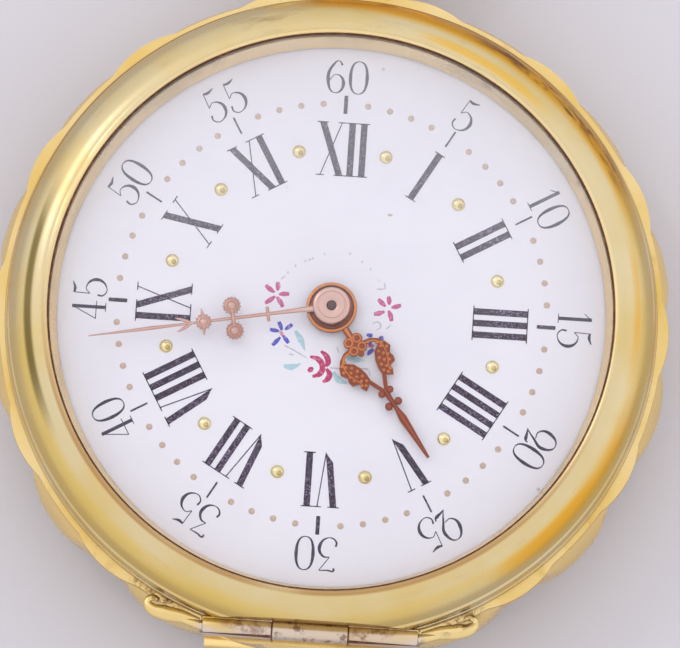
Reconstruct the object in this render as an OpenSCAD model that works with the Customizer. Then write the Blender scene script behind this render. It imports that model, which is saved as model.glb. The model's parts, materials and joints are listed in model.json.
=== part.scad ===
// Open-face fob watch with a lobed gold case, hinged bezel, back and inner cover,
// enamel dial, pierced hands and a stem-wound lever movement.
// The dial faces +Z, the pendant points to +Y and the back rests on Z = 0.

/* [Case] */
// Radius of the case band between its lobes
band_r = 17; // [16:0.1:18.5]
// Height of the case band
band_h = 4.3; // [4.2:0.1:5]
// Lobes round the case band
lobe_count = 14; // [10:2:18]
// How far each lobe stands out of the band
lobe_rise = 0.6; // [0.5:0.05:0.9]
// Radius of each lobe's round face
lobe_curve = 5; // [4:0.5:7]
// How far the flange's waved edge stands outside the band at its narrowest
flange_lip = 0.05; // [0.02:0.01:0.1]
// How far the flange's edge swells between the lobes
flange_rise = 0.3; // [0.1:0.05:0.5]
// Thickness of the flange under the bezel
flange_t = 0.4; // [0.3:0.05:0.6]
// Width from the band's side in to the bezel's opening
rim_w = 2.5; // [2.4:0.05:2.6]
// Width of the bezel's round face
bezel_w = 2.1; // [1.8:0.1:2.4]
// Straight foot under the bezel's round face
bezel_foot = 0.4; // [0.3:0.05:0.6]
// How far the bezel's inner wall slopes in
wall_slope = 0.45; // [0.3:0.05:0.6]
// Height of the crystal's dome above its edge
crystal_rise = 1.1; // [0.9:0.1:1.6]
// Thickness of the crystal
crystal_t = 0.6; // [0.4:0.1:0.8]
// Height of the back cover, from its flat to the band
back_rise = 2.4; // [2.3:0.1:3]
// Radius of the plain medallion that the watch rests on
back_flat_r = 7; // [5:0.5:8]
// How far the medallion stands proud of the back
medallion_h = 0.28; // [0.24:0.02:0.32]
// Wall of the back cover
back_t = 0.5; // [0.4:0.05:0.6]
// Wall of the inner cover
cuvette_t = 0.35; // [0.25:0.05:0.45]

/* [Hinges] */
// Radius of the bezel's and back's hinge knuckles
knuckle_r = 0.5; // [0.45:0.05:0.6]
// Radius of the bezel's and back's hinge pins
hinge_pin_r = 0.25; // [0.2:0.05:0.3]
// Whole length of the bezel's and back's hinges
hinge_l = 11; // [9:0.5:12]
// Length of the middle knuckle on the band
knuckle_l = 3.8; // [3:0.2:5]
// Length of the leaf beside each end of the bezel's hinge
leaf_l = 2.2; // [1.6:0.2:3]
// Radius of the curl at the leaf's end
curl_r = 0.62; // [0.5:0.02:0.8]
// Radius of the inner cover's knuckles
small_knuckle_r = 0.35; // [0.3:0.05:0.4]
// Radius of the inner cover's hinge pin
small_pin_r = 0.16; // [0.12:0.02:0.2]
// Whole length of the inner cover's hinge
small_hinge_l = 6; // [5:0.5:8]

/* [Pendant, crown and bow] */
// Radius of the pendant's neck
neck_r = 1.6; // [1.5:0.1:1.8]
// Radius of the pendant's ball
ball_r = 2.1; // [2:0.1:2.4]
// Distance of the ball's middle from the band's lobes
neck_l = 2; // [1.95:0.05:2.4]
// Radius of the crown
crown_r = 2.7; // [2.3:0.1:3]
// Length of the crown
crown_l = 3.0; // [2.5:0.1:3.5]
// Flutes round the crown
flute_count = 24; // [16:2:32]
// Travel of the crown when it is pulled out to set the hands
crown_travel = 0.8; // [0.6:0.1:1]
// Radius of the bow's wire
bow_wire_r = 0.8; // [0.6:0.1:1]
// Radius of the bow's ring at the middle of its wire
bow_ring_r = 5.6; // [5.4:0.1:6.5]
// Radius of the winding stem
stem_r = 0.5; // [0.45:0.05:0.55]

/* [Dial and hands] */
// Thickness of the enamel dial
dial_t = 0.6; // [0.4:0.05:0.8]
// Offset of the hands from the case's axis towards the pendant
hub_y = 0.3; // [0:0.05:0.4]
// Length of the minute hand
minute_hand_l = 12.5; // [11.5:0.1:13]
// Length of the hour hand
hour_hand_l = 9.2; // [8.5:0.1:10]
// Clockwise turn of the minute hand from twelve
minute_turn = 259.2; // [0:0.1:360]
// Clockwise turn of the hour hand from twelve
hour_turn = 143.8; // [0:0.1:360]
// Thickness of the hands
hand_t = 0.16; // [0.12:0.02:0.24]
// Radius of the minute hand's boss
boss_r = 0.95; // [0.85:0.05:1.05]
// Radius of the hour hand's boss
hour_boss_r = 1.3; // [1.2:0.05:1.5]

/* [Movement] */
// Width of the case round the main plate
case_wall = 3.7; // [3.6:0.05:3.8]
// Thickness of the main plate
plate_t = 1.0; // [0.8:0.1:1.2]
// Space under the dial for the hand wheels
works_h = 0.8; // [0.8:0.05:1]
// Space between the plate and the bridges
train_h = 1.6; // [1.6:0.05:1.8]
// Thickness of the bridges
bridge_t = 0.65; // [0.6:0.05:0.7]
// Thickness of the ratchet and crown wheels
winding_t = 0.4; // [0.3:0.05:0.45]
// Tooth size of the barrel and centre pinion
barrel_module = 0.139; // [0.136:0.001:0.142]
// Tooth size of the centre wheel and third pinion
centre_module = 0.12; // [0.118:0.001:0.122]
// Tooth size of the third wheel and fourth pinion
third_module = 0.11; // [0.108:0.001:0.112]
// Tooth size of the fourth wheel and escape pinion
fourth_module = 0.1; // [0.098:0.001:0.102]
// Tooth size of the hand wheels
hand_module = 0.16; // [0.156:0.001:0.162]
// Radius of the escape wheel
escape_r = 2.0; // [1.8:0.05:2.1]
// Radius of the balance
balance_r = 3.95; // [3.8:0.05:4.05]
// Turns of the hairspring
spring_turns = 9; // [6:1:11]
// Radius of the wheels' arbors
arbor_r = 0.2; // [0.16:0.02:0.24]

/* [Hidden] */
$fn = 72;
// Clearances: running fit, slip between covers, seat under a cover, and room round a hinge
run_clear = 0.03;
cover_clear = 0.12;
seat_clear = 0.03;
hinge_clear = 0.08;
eps = 0.01;

// Levels from the back to the dial
band_top = back_rise + band_h;
dial_seat = 0.1;
dial_z = band_top + dial_seat;
dial_top = dial_z + dial_t;
plate_top = dial_z - works_h;
plate_z = plate_top - plate_t;
bridge_top = plate_z - train_h;
bridge_z = bridge_top - bridge_t;
winding_gap = 0.05;
winding_z = bridge_z - winding_gap - winding_t;
barrel_top = band_top - flange_t;
stem_z = (back_rise + barrel_top) / 2;

// Case outlines
opening_r = band_r - rim_w;
flange_r = band_r + flange_lip;
plate_r = band_r - case_wall;
bezel_lip = 0.1;
bezel_centre_r = opening_r + bezel_lip;
bezel_r = bezel_centre_r + bezel_w;
bezel_z = band_top + seat_clear;
bezel_round_z = bezel_z + bezel_foot;
lip_z = bezel_round_z + bezel_w;
rim_bead_r = 0.14;
rim_groove = 0.12;
wall_r = opening_r - wall_slope;
wall_z = dial_top + cover_clear;
dial_r = wall_r + 0.2;
snap_r = bezel_r - 1.1;
snap_w = 0.5;
snap_h = 0.5;
ledge_t = 0.6;
ledge_w = 0.5;
bore_r = plate_r + 0.1;
bulge_fall = 0.95;
back_r = bezel_r - 0.2;
back_wall_h = 0.8;
back_snap_h = 0.38;
back_skirt_w = 0.45;
back_snap_r = back_r - back_skirt_w - cover_clear;

// Crystal
crystal_groove = 0.2;
crystal_edge_t = 0.3;
crystal_r = opening_r + crystal_groove - 0.05;
crystal_z = lip_z - 0.55;

// Hinges
hinge_y = -(bezel_r - 0.35);
hinge_z = bezel_z + 0.27;
chord_y = hinge_y + 0.4;
back_hinge_z = back_rise - knuckle_r - 0.05;
knuckle_web = 0.7;
slot_h = 3;
cuvette_r = bore_r + 0.75;
cuvette_hinge_y = -(cuvette_r - 0.05);
cuvette_hinge_z = back_rise - small_knuckle_r - 0.03;

// The movement's plan follows the plate's radius
drawn_plate_r = 13.3;
plan = plate_r / drawn_plate_r;
barrel_m = barrel_module * plan;
centre_m = centre_module * plan;
third_m = third_module * plan;
fourth_m = fourth_module * plan;
hand_m = hand_module * plan;
escape_tip_r = escape_r * plan;
balance_edge_r = balance_r * plan;

// Pendant and stem
pendant_y = band_r - 1.4;
ball_y = band_r + lobe_rise + neck_l;
collar_y = ball_y + 1.6;
crown_y = collar_y + cover_clear;
sleeve_r = stem_r + 0.45;
bow_pin_r = 0.4;
stem_tail_y = 5.6 * plan;
stem_square_y = 7.6 * plan;
slide_y = 8.1 * plan;
stem_pivot_r = 0.3;
stem_waist_r = 0.42;
stem_groove_y = 11.3 * plan;
stem_groove_l = 0.4;

// Dial feet
foot_reach = 11.6 * plan;
foot_r = 0.35;
foot_turns = [40, 150, 275];
foot_screw_r = 0.28;
foot_screw_l = plate_r - foot_reach - foot_r - 0.33;
dial_hole_r = 1.15;

// Wheel counts
barrel_teeth = 72;
centre_leaves = 10;
centre_teeth = 64;
third_leaves = 8;
third_teeth = 60;
fourth_leaves = 8;
fourth_teeth = 60;
escape_leaves = 6;
escape_teeth = 15;
cannon_leaves = 10;
minute_teeth = 30;
minute_leaves = 8;
hour_teeth = 32;
setting_teeth = 16;
crown_wheel_teeth = 24;
ratchet_teeth = 28;
winding_teeth = 12;
// Height of a tooth above and below the pitch circle, in modules, and half its width in pitches
tooth_tip = 0.85;
tooth_root = 1.2;
tooth_foot_w = 0.3;
tooth_tip_w = 0.13;

// Places of the arbors
hub = [0, hub_y];
mesh_depth = 0.12;
winding_r = stem_z - (winding_z + winding_t) + mesh_depth;
crown_wheel_r = 2 * (winding_r - mesh_depth / 2);
winding_module = 2 * crown_wheel_r / crown_wheel_teeth;
winding_y = 10.1 * plan;
winding_l = 1.0;
crown_wheel_at = [0, winding_y + winding_l / 2 - crown_wheel_r];
ratchet_r = winding_module * ratchet_teeth / 2;
barrel_reach = barrel_m * (barrel_teeth + centre_leaves) / 2;
winding_reach = crown_wheel_r + ratchet_r;
crown_wheel_rise = crown_wheel_at[1] - hub_y;
barrel_lift = asin((pow(barrel_reach, 2) + pow(crown_wheel_rise, 2) - pow(winding_reach, 2))
    / (2 * barrel_reach * crown_wheel_rise));
barrel_at = hub + barrel_reach * [-cos(barrel_lift), sin(barrel_lift)];
third_at = hub + polar(centre_m * (centre_teeth + third_leaves) / 2, 20);
fourth_at = third_at + polar(third_m * (third_teeth + fourth_leaves) / 2, -70);
escape_at = fourth_at + polar(fourth_m * (fourth_teeth + escape_leaves) / 2, -100);
lever_line = 190;
pallet_reach = escape_tip_r / cos(30);
lever_reach = 3.0 * plan;
pallet_at = escape_at + polar(pallet_reach, lever_line);
balance_at = pallet_at + polar(lever_reach, lever_line);
minute_wheel_at = hub + polar(hand_m * (cannon_leaves + minute_teeth) / 2, 75);
setting_reach = hand_m * (minute_teeth + setting_teeth) / 2;
setting_at = [0, minute_wheel_at[1] + sqrt(pow(setting_reach, 2) - pow(minute_wheel_at[0], 2))];

// Heights of the wheels above the bridges
drum_z = bridge_top + 0.1;
drum_h = 1.05;
drum_r = barrel_m * barrel_teeth / 2 - 2 * barrel_m;
barrel_teeth_z = drum_z + 0.3;
barrel_teeth_h = 0.3;
centre_z = plate_z - 0.35;
third_z = bridge_top + 0.2;
fourth_z = bridge_top + 0.75;
escape_z = plate_z - 0.5;
wheel_t = 0.15;
lever_z = plate_z - 0.5;
balance_z = bridge_top + 0.3;
balance_rim_h = 0.26;
spring_z = bridge_top + 0.06;
spring_h = 0.14;

// Barrel and winding
drum_wall = 0.35;
drum_floor = 0.15;
core_r = 1.0;
barrel_pivot_r = 0.45;
ratchet_screw_r = 0.22;
crown_core_r = 0.7;
crown_wheel_turn = 90 + 180 / crown_wheel_teeth;
ratchet_turn = meshed(crown_wheel_turn, crown_wheel_teeth, ratchet_teeth,
    heading(crown_wheel_at, barrel_at));
slide_r = 1.1;
click_clear = 0.06;
click_head = 235;
click_at = barrel_at + polar(ratchet_r + 1.65, 212);
click_tip = barrel_at + polar(ratchet_r + tooth_tip * winding_module + click_clear, click_head);
click_lean = heading(click_at, click_tip);
click_w = 0.5;
click_core_r = 0.4;

// Bridges, their jewels and screws
bridge_r = plate_r - 0.7;
bridge_foot_r = bridge_r - 1.5;
jewel_r = 0.42;
jewel_t = 0.3;
pivot_r = 0.1;
screw_r = 0.3;
screw_head_r = 0.55;
screw_head_h = 0.2;
case_screw_head_r = 0.95;
bolt_reach = bridge_r - 0.75;
barrel_bridge_screws = [polar(bolt_reach, 50), polar(bolt_reach, 128), polar(bolt_reach, 188)];
train_bridge_screws = [polar(bolt_reach, 10), polar(bolt_reach, -30)];
cock_from = 242;
cock_to = 282;
cock_mid = (cock_from + cock_to) / 2;
cock_screws = [polar(bolt_reach, cock_mid)];
case_screw_places = [polar(bore_r - ledge_w - 0.6, 212), polar(bore_r - ledge_w - 0.6, 314)];
cock_r = 1.6;
pallet_cock_z = plate_z - 0.84;
pallet_cock_t = 0.26;
pallet_foot_at = pallet_at + polar(2.0 * plan, lever_line + 90);

// Balance
impulse_r = 0.7;
balance_screw_l = 0.35;
balance_screw_sink = 0.15;
balance_rim_r = balance_edge_r - balance_screw_l;
balance_screw_count = 14;
collet_r = 0.42;
stud_reach = 2.3 * plan;
stud_turn = 150;
stud_at = balance_at + polar(stud_reach, stud_turn);
regulator_t = 0.18;
cap_r = 0.75;

// Setting works under the dial
plate_rim_w = 0.6;
post_r = 0.3;
works_pin_r = 0.15;
works_z = plate_top + 0.04;
works_t = 0.25;
window_w = 2 * slide_r + 0.3;
pinion_window_w = 2 * winding_r + 0.3;
stem_block_y = 11.8 * plan;
setting_sink = 0.5;
set_pivot = [2.6, 11.7] * plan;
yoke_pivot = [-3.0, 9.6] * plan;
set_spring_at = [4.6, 9.6] * plan;
yoke_spring_at = [-6.2, 9.2] * plan;

// Heights of the hand wheels and hands
minute_wheel_z = plate_top + 0.06;
hour_wheel_z = plate_top + 0.42;
works_wheel_t = 0.24;
hour_hand_z = dial_top + 0.4;
minute_hand_z = hour_hand_z + 0.5;
cannon_r = 0.45;
cannon_bore_r = 0.24;
hour_tube_r = 0.85;
hour_bore_r = cannon_r + 0.06;
boss_h = 0.42;
boss_cap = 0.12;
arbor_tip_z = minute_hand_z + boss_h + 0.06;

// A point at a distance and an angle
function polar(reach, turn) = reach * [cos(turn), sin(turn)];
// The angle from one point to another
function heading(from, to) = atan2(to[1] - from[1], to[0] - from[0]);
// Radius of the arc that rises by a height over a width
function arc_r(width, height) = (pow(width, 2) + pow(height, 2)) / (2 * height);
// Outline of a wheel with straight-sided teeth, one of them on the X axis
function tooth_points(count, size, foot, tip) = [
    for (i = [0 : count - 1],
         k = [[-foot, -tooth_root], [-tip, tooth_tip], [tip, tooth_tip], [foot, -tooth_root]])
        polar(size * (count / 2 + k[1]), (i + k[0]) * 360 / count)
];

// Places a child, drawn along +Z, on the stem's axis pointing away from the watch
module along_stem(y) {
    translate([0, y, stem_z]) rotate([-90, 0, 0]) children();
}

module at(place, z) {
    translate([place[0], place[1], z]) children();
}

// A straight barrel along X, centred on the watch's plane of symmetry
module cross_barrel(y, z, r, from, to) {
    translate([from, y, z]) rotate([0, 90, 0]) cylinder(r = r, h = to - from);
}

module tube(r_out, r_in, h) {
    difference() {
        cylinder(r = r_out, h = h);
        translate([0, 0, -eps]) cylinder(r = r_in, h = h + 2 * eps);
    }
}

// A round outline with round lobes, turned so that one lobe points along +Y
module lobed_outline(r, rise, curve, turn) {
    circle(r = r, $fn = 180);
    for (i = [0 : lobe_count - 1])
        rotate(turn + i * 360 / lobe_count) translate([0, r + rise - curve]) circle(r = curve);
}

// A gear with straight-sided teeth
module gear(count, size, h, bore, turn) {
    linear_extrude(h) rotate(turn) difference() {
        polygon(tooth_points(count, size, tooth_foot_w, tooth_tip_w));
        circle(r = bore);
    }
}

// A wheel crossed out to a rim, a hub and spokes
module crossed_wheel(count, size, h, hub_r, bore, spokes, turn) {
    root_r = size * (count / 2 - tooth_root);
    rim_r = root_r - 2.6 * size;
    spoke_w = 2.4 * size;
    linear_extrude(h) difference() {
        rotate(turn) polygon(tooth_points(count, size, tooth_foot_w, tooth_tip_w));
        circle(r = bore);
        difference() {
            circle(r = rim_r);
            circle(r = hub_r);
            for (i = [0 : spokes - 1])
                rotate(turn + i * 360 / spokes) translate([0, -spoke_w / 2])
                    square([rim_r + size, spoke_w]);
        }
    }
}

// A slotted screw with its head's face at Z = 0 and its shank along +Z
module screw(head_r, head_h, shank_r, shank_l) {
    difference() {
        cylinder(r = head_r, h = head_h);
        translate([-head_r, -head_r * 0.14, -eps]) cube([2 * head_r, head_r * 0.28, head_h * 0.5]);
    }
    translate([0, 0, head_h - eps]) cylinder(r = shank_r, h = shank_l + eps);
}

// Case

// The bulged side of the band, as a solid of revolution
module band_bulge() {
    half_h = (barrel_top - back_rise) / 2;
    curve = arc_r(half_h, bulge_fall);
    translate([0, 0, stem_z]) rotate_extrude($fn = 180) intersection() {
        translate([0, -half_h]) square([band_r + lobe_rise + 1, 2 * half_h]);
        union() {
            translate([band_r + lobe_rise - curve, 0]) circle(r = curve);
            translate([0, -half_h]) square([band_r + lobe_rise - curve, 2 * half_h]);
        }
    }
}

// The slot that a hinge's outer knuckles turn in, open to the outside
module hinge_slot(z) {
    inner_y = hinge_y + knuckle_r + hinge_clear;
    length = hinge_l + 2 * hinge_clear;
    translate([-length / 2, -band_r - slot_h, z]) cube([length, band_r + slot_h + inner_y, slot_h]);
}

// The ring that a cover snaps over, left out beside the hinge
module back_snap_ring() {
    difference() {
        translate([0, 0, back_rise - back_snap_h])
            tube(back_snap_r, back_snap_r - snap_w, back_snap_h + eps);
        translate([-hinge_l / 2 - 1, -2 * band_r, 0])
            cube([hinge_l + 2, 2 * band_r + cuvette_hinge_y, band_top]);
    }
}

// The middle knuckle of a hinge, on a web that roots it in the band
module middle_knuckle(z) {
    cross_barrel(hinge_y, z, knuckle_r, -knuckle_l / 2, knuckle_l / 2);
    translate([-knuckle_l / 2, hinge_y - knuckle_web / 2, min(z, stem_z)])
        cube([knuckle_l, knuckle_web, abs(z - stem_z)]);
}

module case_band() {
    color("goldenrod") difference() {
        union() {
            difference() {
                union() {
                    intersection() {
                        translate([0, 0, back_rise]) linear_extrude(barrel_top - back_rise)
                            lobed_outline(band_r, lobe_rise, lobe_curve, 0);
                        band_bulge();
                    }
                    translate([0, 0, barrel_top]) linear_extrude(flange_t)
                        lobed_outline(flange_r, flange_rise, lobe_curve, 180 / lobe_count);
                }
                hinge_slot(hinge_z - knuckle_r - hinge_clear);
            }
            translate([0, 0, band_top - eps]) tube(snap_r, snap_r - snap_w, snap_h + eps);
            back_snap_ring();
            middle_knuckle(hinge_z);
            middle_knuckle(back_hinge_z);
            for (side = [-1, 1])
                translate([side * (small_hinge_l + knuckle_l) / 4, cuvette_hinge_y, 0]) small_knuckle();
        }
        for (z = [hinge_z, back_hinge_z])
            cross_barrel(hinge_y, z, hinge_pin_r, -hinge_l, hinge_l);
        cross_barrel(cuvette_hinge_y, cuvette_hinge_z, small_pin_r, -small_hinge_l, small_hinge_l);
        translate([0, 0, plate_z]) cylinder(r = bore_r, h = band_h);
        translate([0, 0, back_rise - 1]) cylinder(r = bore_r - ledge_w, h = band_h);
        translate([0, 0, back_rise - 1]) cylinder(r = bore_r, h = plate_z - ledge_t - back_rise + 1);
        along_stem(0) cylinder(r = neck_r, h = band_r + lobe_rise + 1);
    }
}

// One knuckle of the inner cover's hinge, hung from the band
module small_knuckle() {
    length = (small_hinge_l - knuckle_l) / 2;
    translate([-length / 2, 0, cuvette_hinge_z]) {
        rotate([0, 90, 0]) cylinder(r = small_knuckle_r, h = length);
        translate([0, -small_knuckle_r, 0])
            cube([length, 2 * small_knuckle_r, back_rise - cuvette_hinge_z + eps]);
    }
}

// Section of the bezel: a quarter round over a foot, with a sloped inner wall
// and a groove for the crystal
module bezel_section() {
    recess_r = snap_r + cover_clear;
    difference() {
        union() {
            intersection() {
                translate([bezel_centre_r, bezel_round_z]) circle(r = bezel_w, $fn = 180);
                translate([bezel_centre_r, bezel_round_z]) square(bezel_w + 1);
            }
            polygon([[wall_r, wall_z], [opening_r, lip_z - bezel_lip / 2],
                [bezel_centre_r + eps, lip_z - bezel_lip / 2], [bezel_centre_r + eps, wall_z]]);
            translate([recess_r, bezel_z]) square([bezel_r - recess_r - rim_groove, bezel_foot + eps]);
            translate([bezel_r - rim_bead_r / 2, bezel_z + 1.1 * rim_bead_r])
                circle(r = rim_bead_r, $fn = 32);
            translate([bezel_centre_r, lip_z - 0.7 * bezel_lip]) circle(r = bezel_lip, $fn = 32);
        }
        translate([0, bezel_z - eps]) square([recess_r, wall_z - bezel_z + eps]);
        translate([0, crystal_z]) square([opening_r + crystal_groove, crystal_edge_t + 2 * run_clear]);
    }
}

// A leaf beside the hinge, ending in an open curl
module hinge_leaf() {
    lean = 9;
    wire_r = 0.36 * curl_r;
    bar_r = 0.55 * knuckle_r;
    translate([hinge_l / 2, hinge_y, hinge_z]) rotate([0, 0, lean]) {
        rotate([0, 90, 0]) cylinder(r = bar_r, h = leaf_l);
        translate([0, 2 * wire_r, 0]) rotate([0, 90, 8]) cylinder(r1 = wire_r, r2 = wire_r, h = leaf_l);
        translate([leaf_l + curl_r / 2, curl_r / 2, 0]) rotate_extrude()
            translate([curl_r - wire_r, 0]) circle(r = wire_r, $fn = 32);
    }
}

module bezel() {
    color("gold") difference() {
        union() {
            difference() {
                rotate_extrude($fn = 180) bezel_section();
                translate([-hinge_l / 2 - 1, hinge_y - 3, bezel_z - 1])
                    cube([hinge_l + 2, chord_y - hinge_y + 3, 5]);
            }
            for (side = [0, 1]) mirror([side, 0, 0]) {
                cross_barrel(hinge_y, hinge_z, knuckle_r, knuckle_l / 2 + seat_clear, hinge_l / 2);
                translate([knuckle_l / 2 + seat_clear, hinge_y, bezel_z])
                    cube([(hinge_l - knuckle_l) / 2 - seat_clear, chord_y - hinge_y + eps, 0.6]);
                intersection() {
                    hinge_leaf();
                    translate([0, -2 * band_r, bezel_z]) cube([2 * band_r, 2 * band_r, 3]);
                }
            }
        }
        cross_barrel(hinge_y, hinge_z, hinge_pin_r + run_clear, -hinge_l, hinge_l);
        cross_barrel(hinge_y, hinge_z, knuckle_r + hinge_clear, -knuckle_l / 2 - seat_clear,
            knuckle_l / 2 + seat_clear);
    }
}

module crystal() {
    dome_r = opening_r - 2 * bezel_lip;
    curve = arc_r(dome_r, crystal_rise);
    dome_z = crystal_z + run_clear + crystal_edge_t + crystal_rise - curve;
    color("lightcyan", 0.3) rotate_extrude($fn = 180) difference() {
        union() {
            translate([0, crystal_z + run_clear]) square([crystal_r, crystal_edge_t]);
            intersection() {
                translate([0, dome_z]) circle(r = curve, $fn = 1440);
                translate([0, crystal_z + run_clear]) square([dome_r, crystal_edge_t + crystal_rise]);
            }
        }
        intersection() {
            translate([0, dome_z]) circle(r = curve - crystal_t, $fn = 1440);
            translate([0, crystal_z]) square([wall_r, crystal_edge_t + crystal_rise]);
        }
    }
}

// A domed cover's section between its flat and its edge
module cover_section(z, flat_r, edge_r, dome_h, wall, skirt_w, top) {
    curve = arc_r(edge_r - flat_r, dome_h);
    difference() {
        intersection() {
            translate([0, z]) square([edge_r, top - z]);
            union() {
                translate([0, z]) square([flat_r, top - z]);
                translate([flat_r, z + curve]) circle(r = curve, $fn = 720);
            }
        }
        intersection() {
            translate([0, z + wall]) square([edge_r - skirt_w, top]);
            union() {
                translate([0, z + wall]) square([flat_r, top]);
                translate([flat_r, z + curve]) circle(r = curve - wall, $fn = 720);
            }
        }
    }
}

module back_cover() {
    chord = hinge_y + 0.6 * knuckle_r;
    color("goldenrod") difference() {
        union() {
            difference() {
                rotate_extrude($fn = 180) {
                    cover_section(medallion_h, back_flat_r + 0.5, back_r,
                        back_rise - back_wall_h - medallion_h, back_t, back_skirt_w,
                        back_rise - seat_clear);
                    square([back_flat_r, medallion_h + back_t / 2]);
                    translate([back_r - rim_bead_r / 2, back_rise - seat_clear - rim_bead_r])
                        circle(r = rim_bead_r, $fn = 32);
                }
                translate([-hinge_l, chord - 3, -1]) cube([2 * hinge_l, 3, back_rise + 2]);
            }
            for (side = [0, 1]) mirror([side, 0, 0])
                cross_barrel(hinge_y, back_hinge_z, knuckle_r, knuckle_l / 2 + seat_clear, hinge_l / 2);
        }
        cross_barrel(hinge_y, back_hinge_z, hinge_pin_r + run_clear, -hinge_l, hinge_l);
        cross_barrel(hinge_y, back_hinge_z, knuckle_r + hinge_clear, -knuckle_l / 2 - seat_clear,
            knuckle_l / 2 + seat_clear);
        translate([-knuckle_l / 2 - seat_clear, hinge_y - 3, back_hinge_z])
            cube([knuckle_l + 2 * seat_clear, 3 + knuckle_web / 2 + hinge_clear, 3]);
    }
}

module cuvette() {
    flat_r = 9;
    dome_h = 0.6;
    top = back_rise - seat_clear;
    chord = cuvette_hinge_y + small_knuckle_r + hinge_clear;
    color("khaki") difference() {
        union() {
            difference() {
                rotate_extrude($fn = 180)
                    cover_section(top - dome_h - cuvette_t, flat_r, cuvette_r, dome_h, cuvette_t, 0, top);
                translate([-small_hinge_l / 2 - 0.3, chord - 3, 0])
                    cube([small_hinge_l + 0.6, 3, back_rise + 1]);
            }
            cross_barrel(cuvette_hinge_y, cuvette_hinge_z, small_knuckle_r, -knuckle_l / 2 + seat_clear,
                knuckle_l / 2 - seat_clear);
            translate([-knuckle_l / 2 + seat_clear, cuvette_hinge_y, top - cuvette_t])
                cube([knuckle_l - 2 * seat_clear, 2 * small_knuckle_r, cuvette_t]);
        }
        cross_barrel(cuvette_hinge_y, cuvette_hinge_z, small_pin_r + run_clear, -small_hinge_l,
            small_hinge_l);
    }
}

module bezel_hinge_pin() {
    color("gold") cross_barrel(hinge_y, hinge_z, hinge_pin_r, -hinge_l / 2, hinge_l / 2);
}

module back_hinge_pin() {
    color("gold") cross_barrel(hinge_y, back_hinge_z, hinge_pin_r, -hinge_l / 2, hinge_l / 2);
}

module cuvette_hinge_pin() {
    color("gold") cross_barrel(cuvette_hinge_y, cuvette_hinge_z, small_pin_r, -small_hinge_l / 2,
        small_hinge_l / 2);
}

// Pendant, crown and bow

module pendant() {
    color("goldenrod") difference() {
        along_stem(0) rotate_extrude() {
            translate([0, pendant_y]) square([neck_r, ball_y - pendant_y]);
            translate([0, band_r + lobe_rise - 0.1]) square([neck_r + 0.3, 0.35]);
            intersection() {
                translate([0, ball_y]) circle(r = ball_r);
                translate([0, ball_y - ball_r]) square([ball_r, ball_r + collar_y - ball_y]);
            }
            translate([0, collar_y - 0.45]) square([neck_r + 0.15, 0.45]);
        }
        along_stem(0) cylinder(r = sleeve_r, h = 2 * ball_y);
        for (side = [0, 1]) mirror([side, 0, 0])
            cross_barrel(ball_y, stem_z, bow_pin_r + run_clear, sleeve_r + 0.15, 2 * ball_r);
    }
}

module stem_sleeve() {
    color("silver") along_stem(pendant_y + 0.4)
        tube(sleeve_r, stem_r + run_clear, collar_y - pendant_y - 0.8);
}

module bow() {
    eye_x = ball_r + 0.12 + bow_wire_r;
    ring_y = ball_y + sqrt(pow(bow_ring_r, 2) - pow(eye_x, 2));
    start = atan2(ball_y - ring_y, eye_x);
    color("gold") {
        translate([0, ring_y, stem_z]) rotate([0, 0, start]) rotate_extrude(angle = 180 - 2 * start)
            translate([bow_ring_r, 0]) circle(r = bow_wire_r, $fn = 40);
        for (side = [0, 1]) mirror([side, 0, 0]) {
            translate([eye_x, ball_y, stem_z]) sphere(r = bow_wire_r + 0.06, $fn = 40);
            cross_barrel(ball_y, stem_z, bow_pin_r, sleeve_r + 0.25, eye_x);
        }
    }
}

module crown() {
    edge = 0.35;
    color("gold") along_stem(crown_y) difference() {
        rotate_extrude() {
            polygon([[0, 0], [crown_r - edge, 0], [crown_r, edge], [crown_r, crown_l - 2 * edge],
                [crown_r - edge, crown_l - edge / 2], [crown_r / 2, crown_l], [0, crown_l]]);
        }
        for (i = [0 : flute_count - 1]) rotate(i * 360 / flute_count)
            translate([crown_r + 0.08, 0, -eps]) cylinder(r = 0.26, h = crown_l - edge, $fn = 24);
        translate([0, 0, -eps]) cylinder(r = stem_r, h = crown_l - 0.8);
    }
}

module stem() {
    square_s = 1.3 * stem_r;
    color("silver") {
        along_stem(stem_tail_y) cylinder(r = stem_pivot_r, h = slide_y - stem_tail_y);
        translate([-square_s / 2, stem_square_y, stem_z - square_s / 2])
            cube([square_s, winding_y - stem_square_y, square_s]);
        along_stem(winding_y - eps) cylinder(r = stem_waist_r, h = stem_groove_y - winding_y + 2 * eps);
        along_stem(stem_groove_y) cylinder(r = stem_r / 2, h = stem_groove_l);
        along_stem(stem_groove_y + stem_groove_l - eps)
            cylinder(r = stem_r, h = crown_y + crown_l - 0.8 - stem_groove_y - stem_groove_l);
    }
}

// Dial and hands

module dial() {
    edge = 0.12;
    color("white") difference() {
        rotate_extrude($fn = 180) polygon([[0, dial_z], [dial_r - edge, dial_z], [dial_r, dial_z + edge],
            [dial_r, dial_top - edge], [dial_r - edge, dial_top], [0, dial_top]]);
        at(hub, dial_z - 1) cylinder(r = dial_hole_r, h = dial_t + 2);
    }
}

module dial_feet() {
    color("peru") for (turn = foot_turns) at(polar(foot_reach, turn), plate_z + 0.2)
        cylinder(r = foot_r, h = dial_z - plate_z - 0.2, $fn = 32);
}

// Radial screws in the plate's edge that grip the dial's feet
module dial_foot_screws() {
    color("steelblue") for (turn = foot_turns) rotate([0, 0, turn])
        translate([plate_r - 0.02, 0, plate_z + plate_t / 2]) rotate([0, -90, 0])
            screw(foot_screw_r, 0.3, foot_screw_r * 0.7, foot_screw_l);
}

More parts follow.
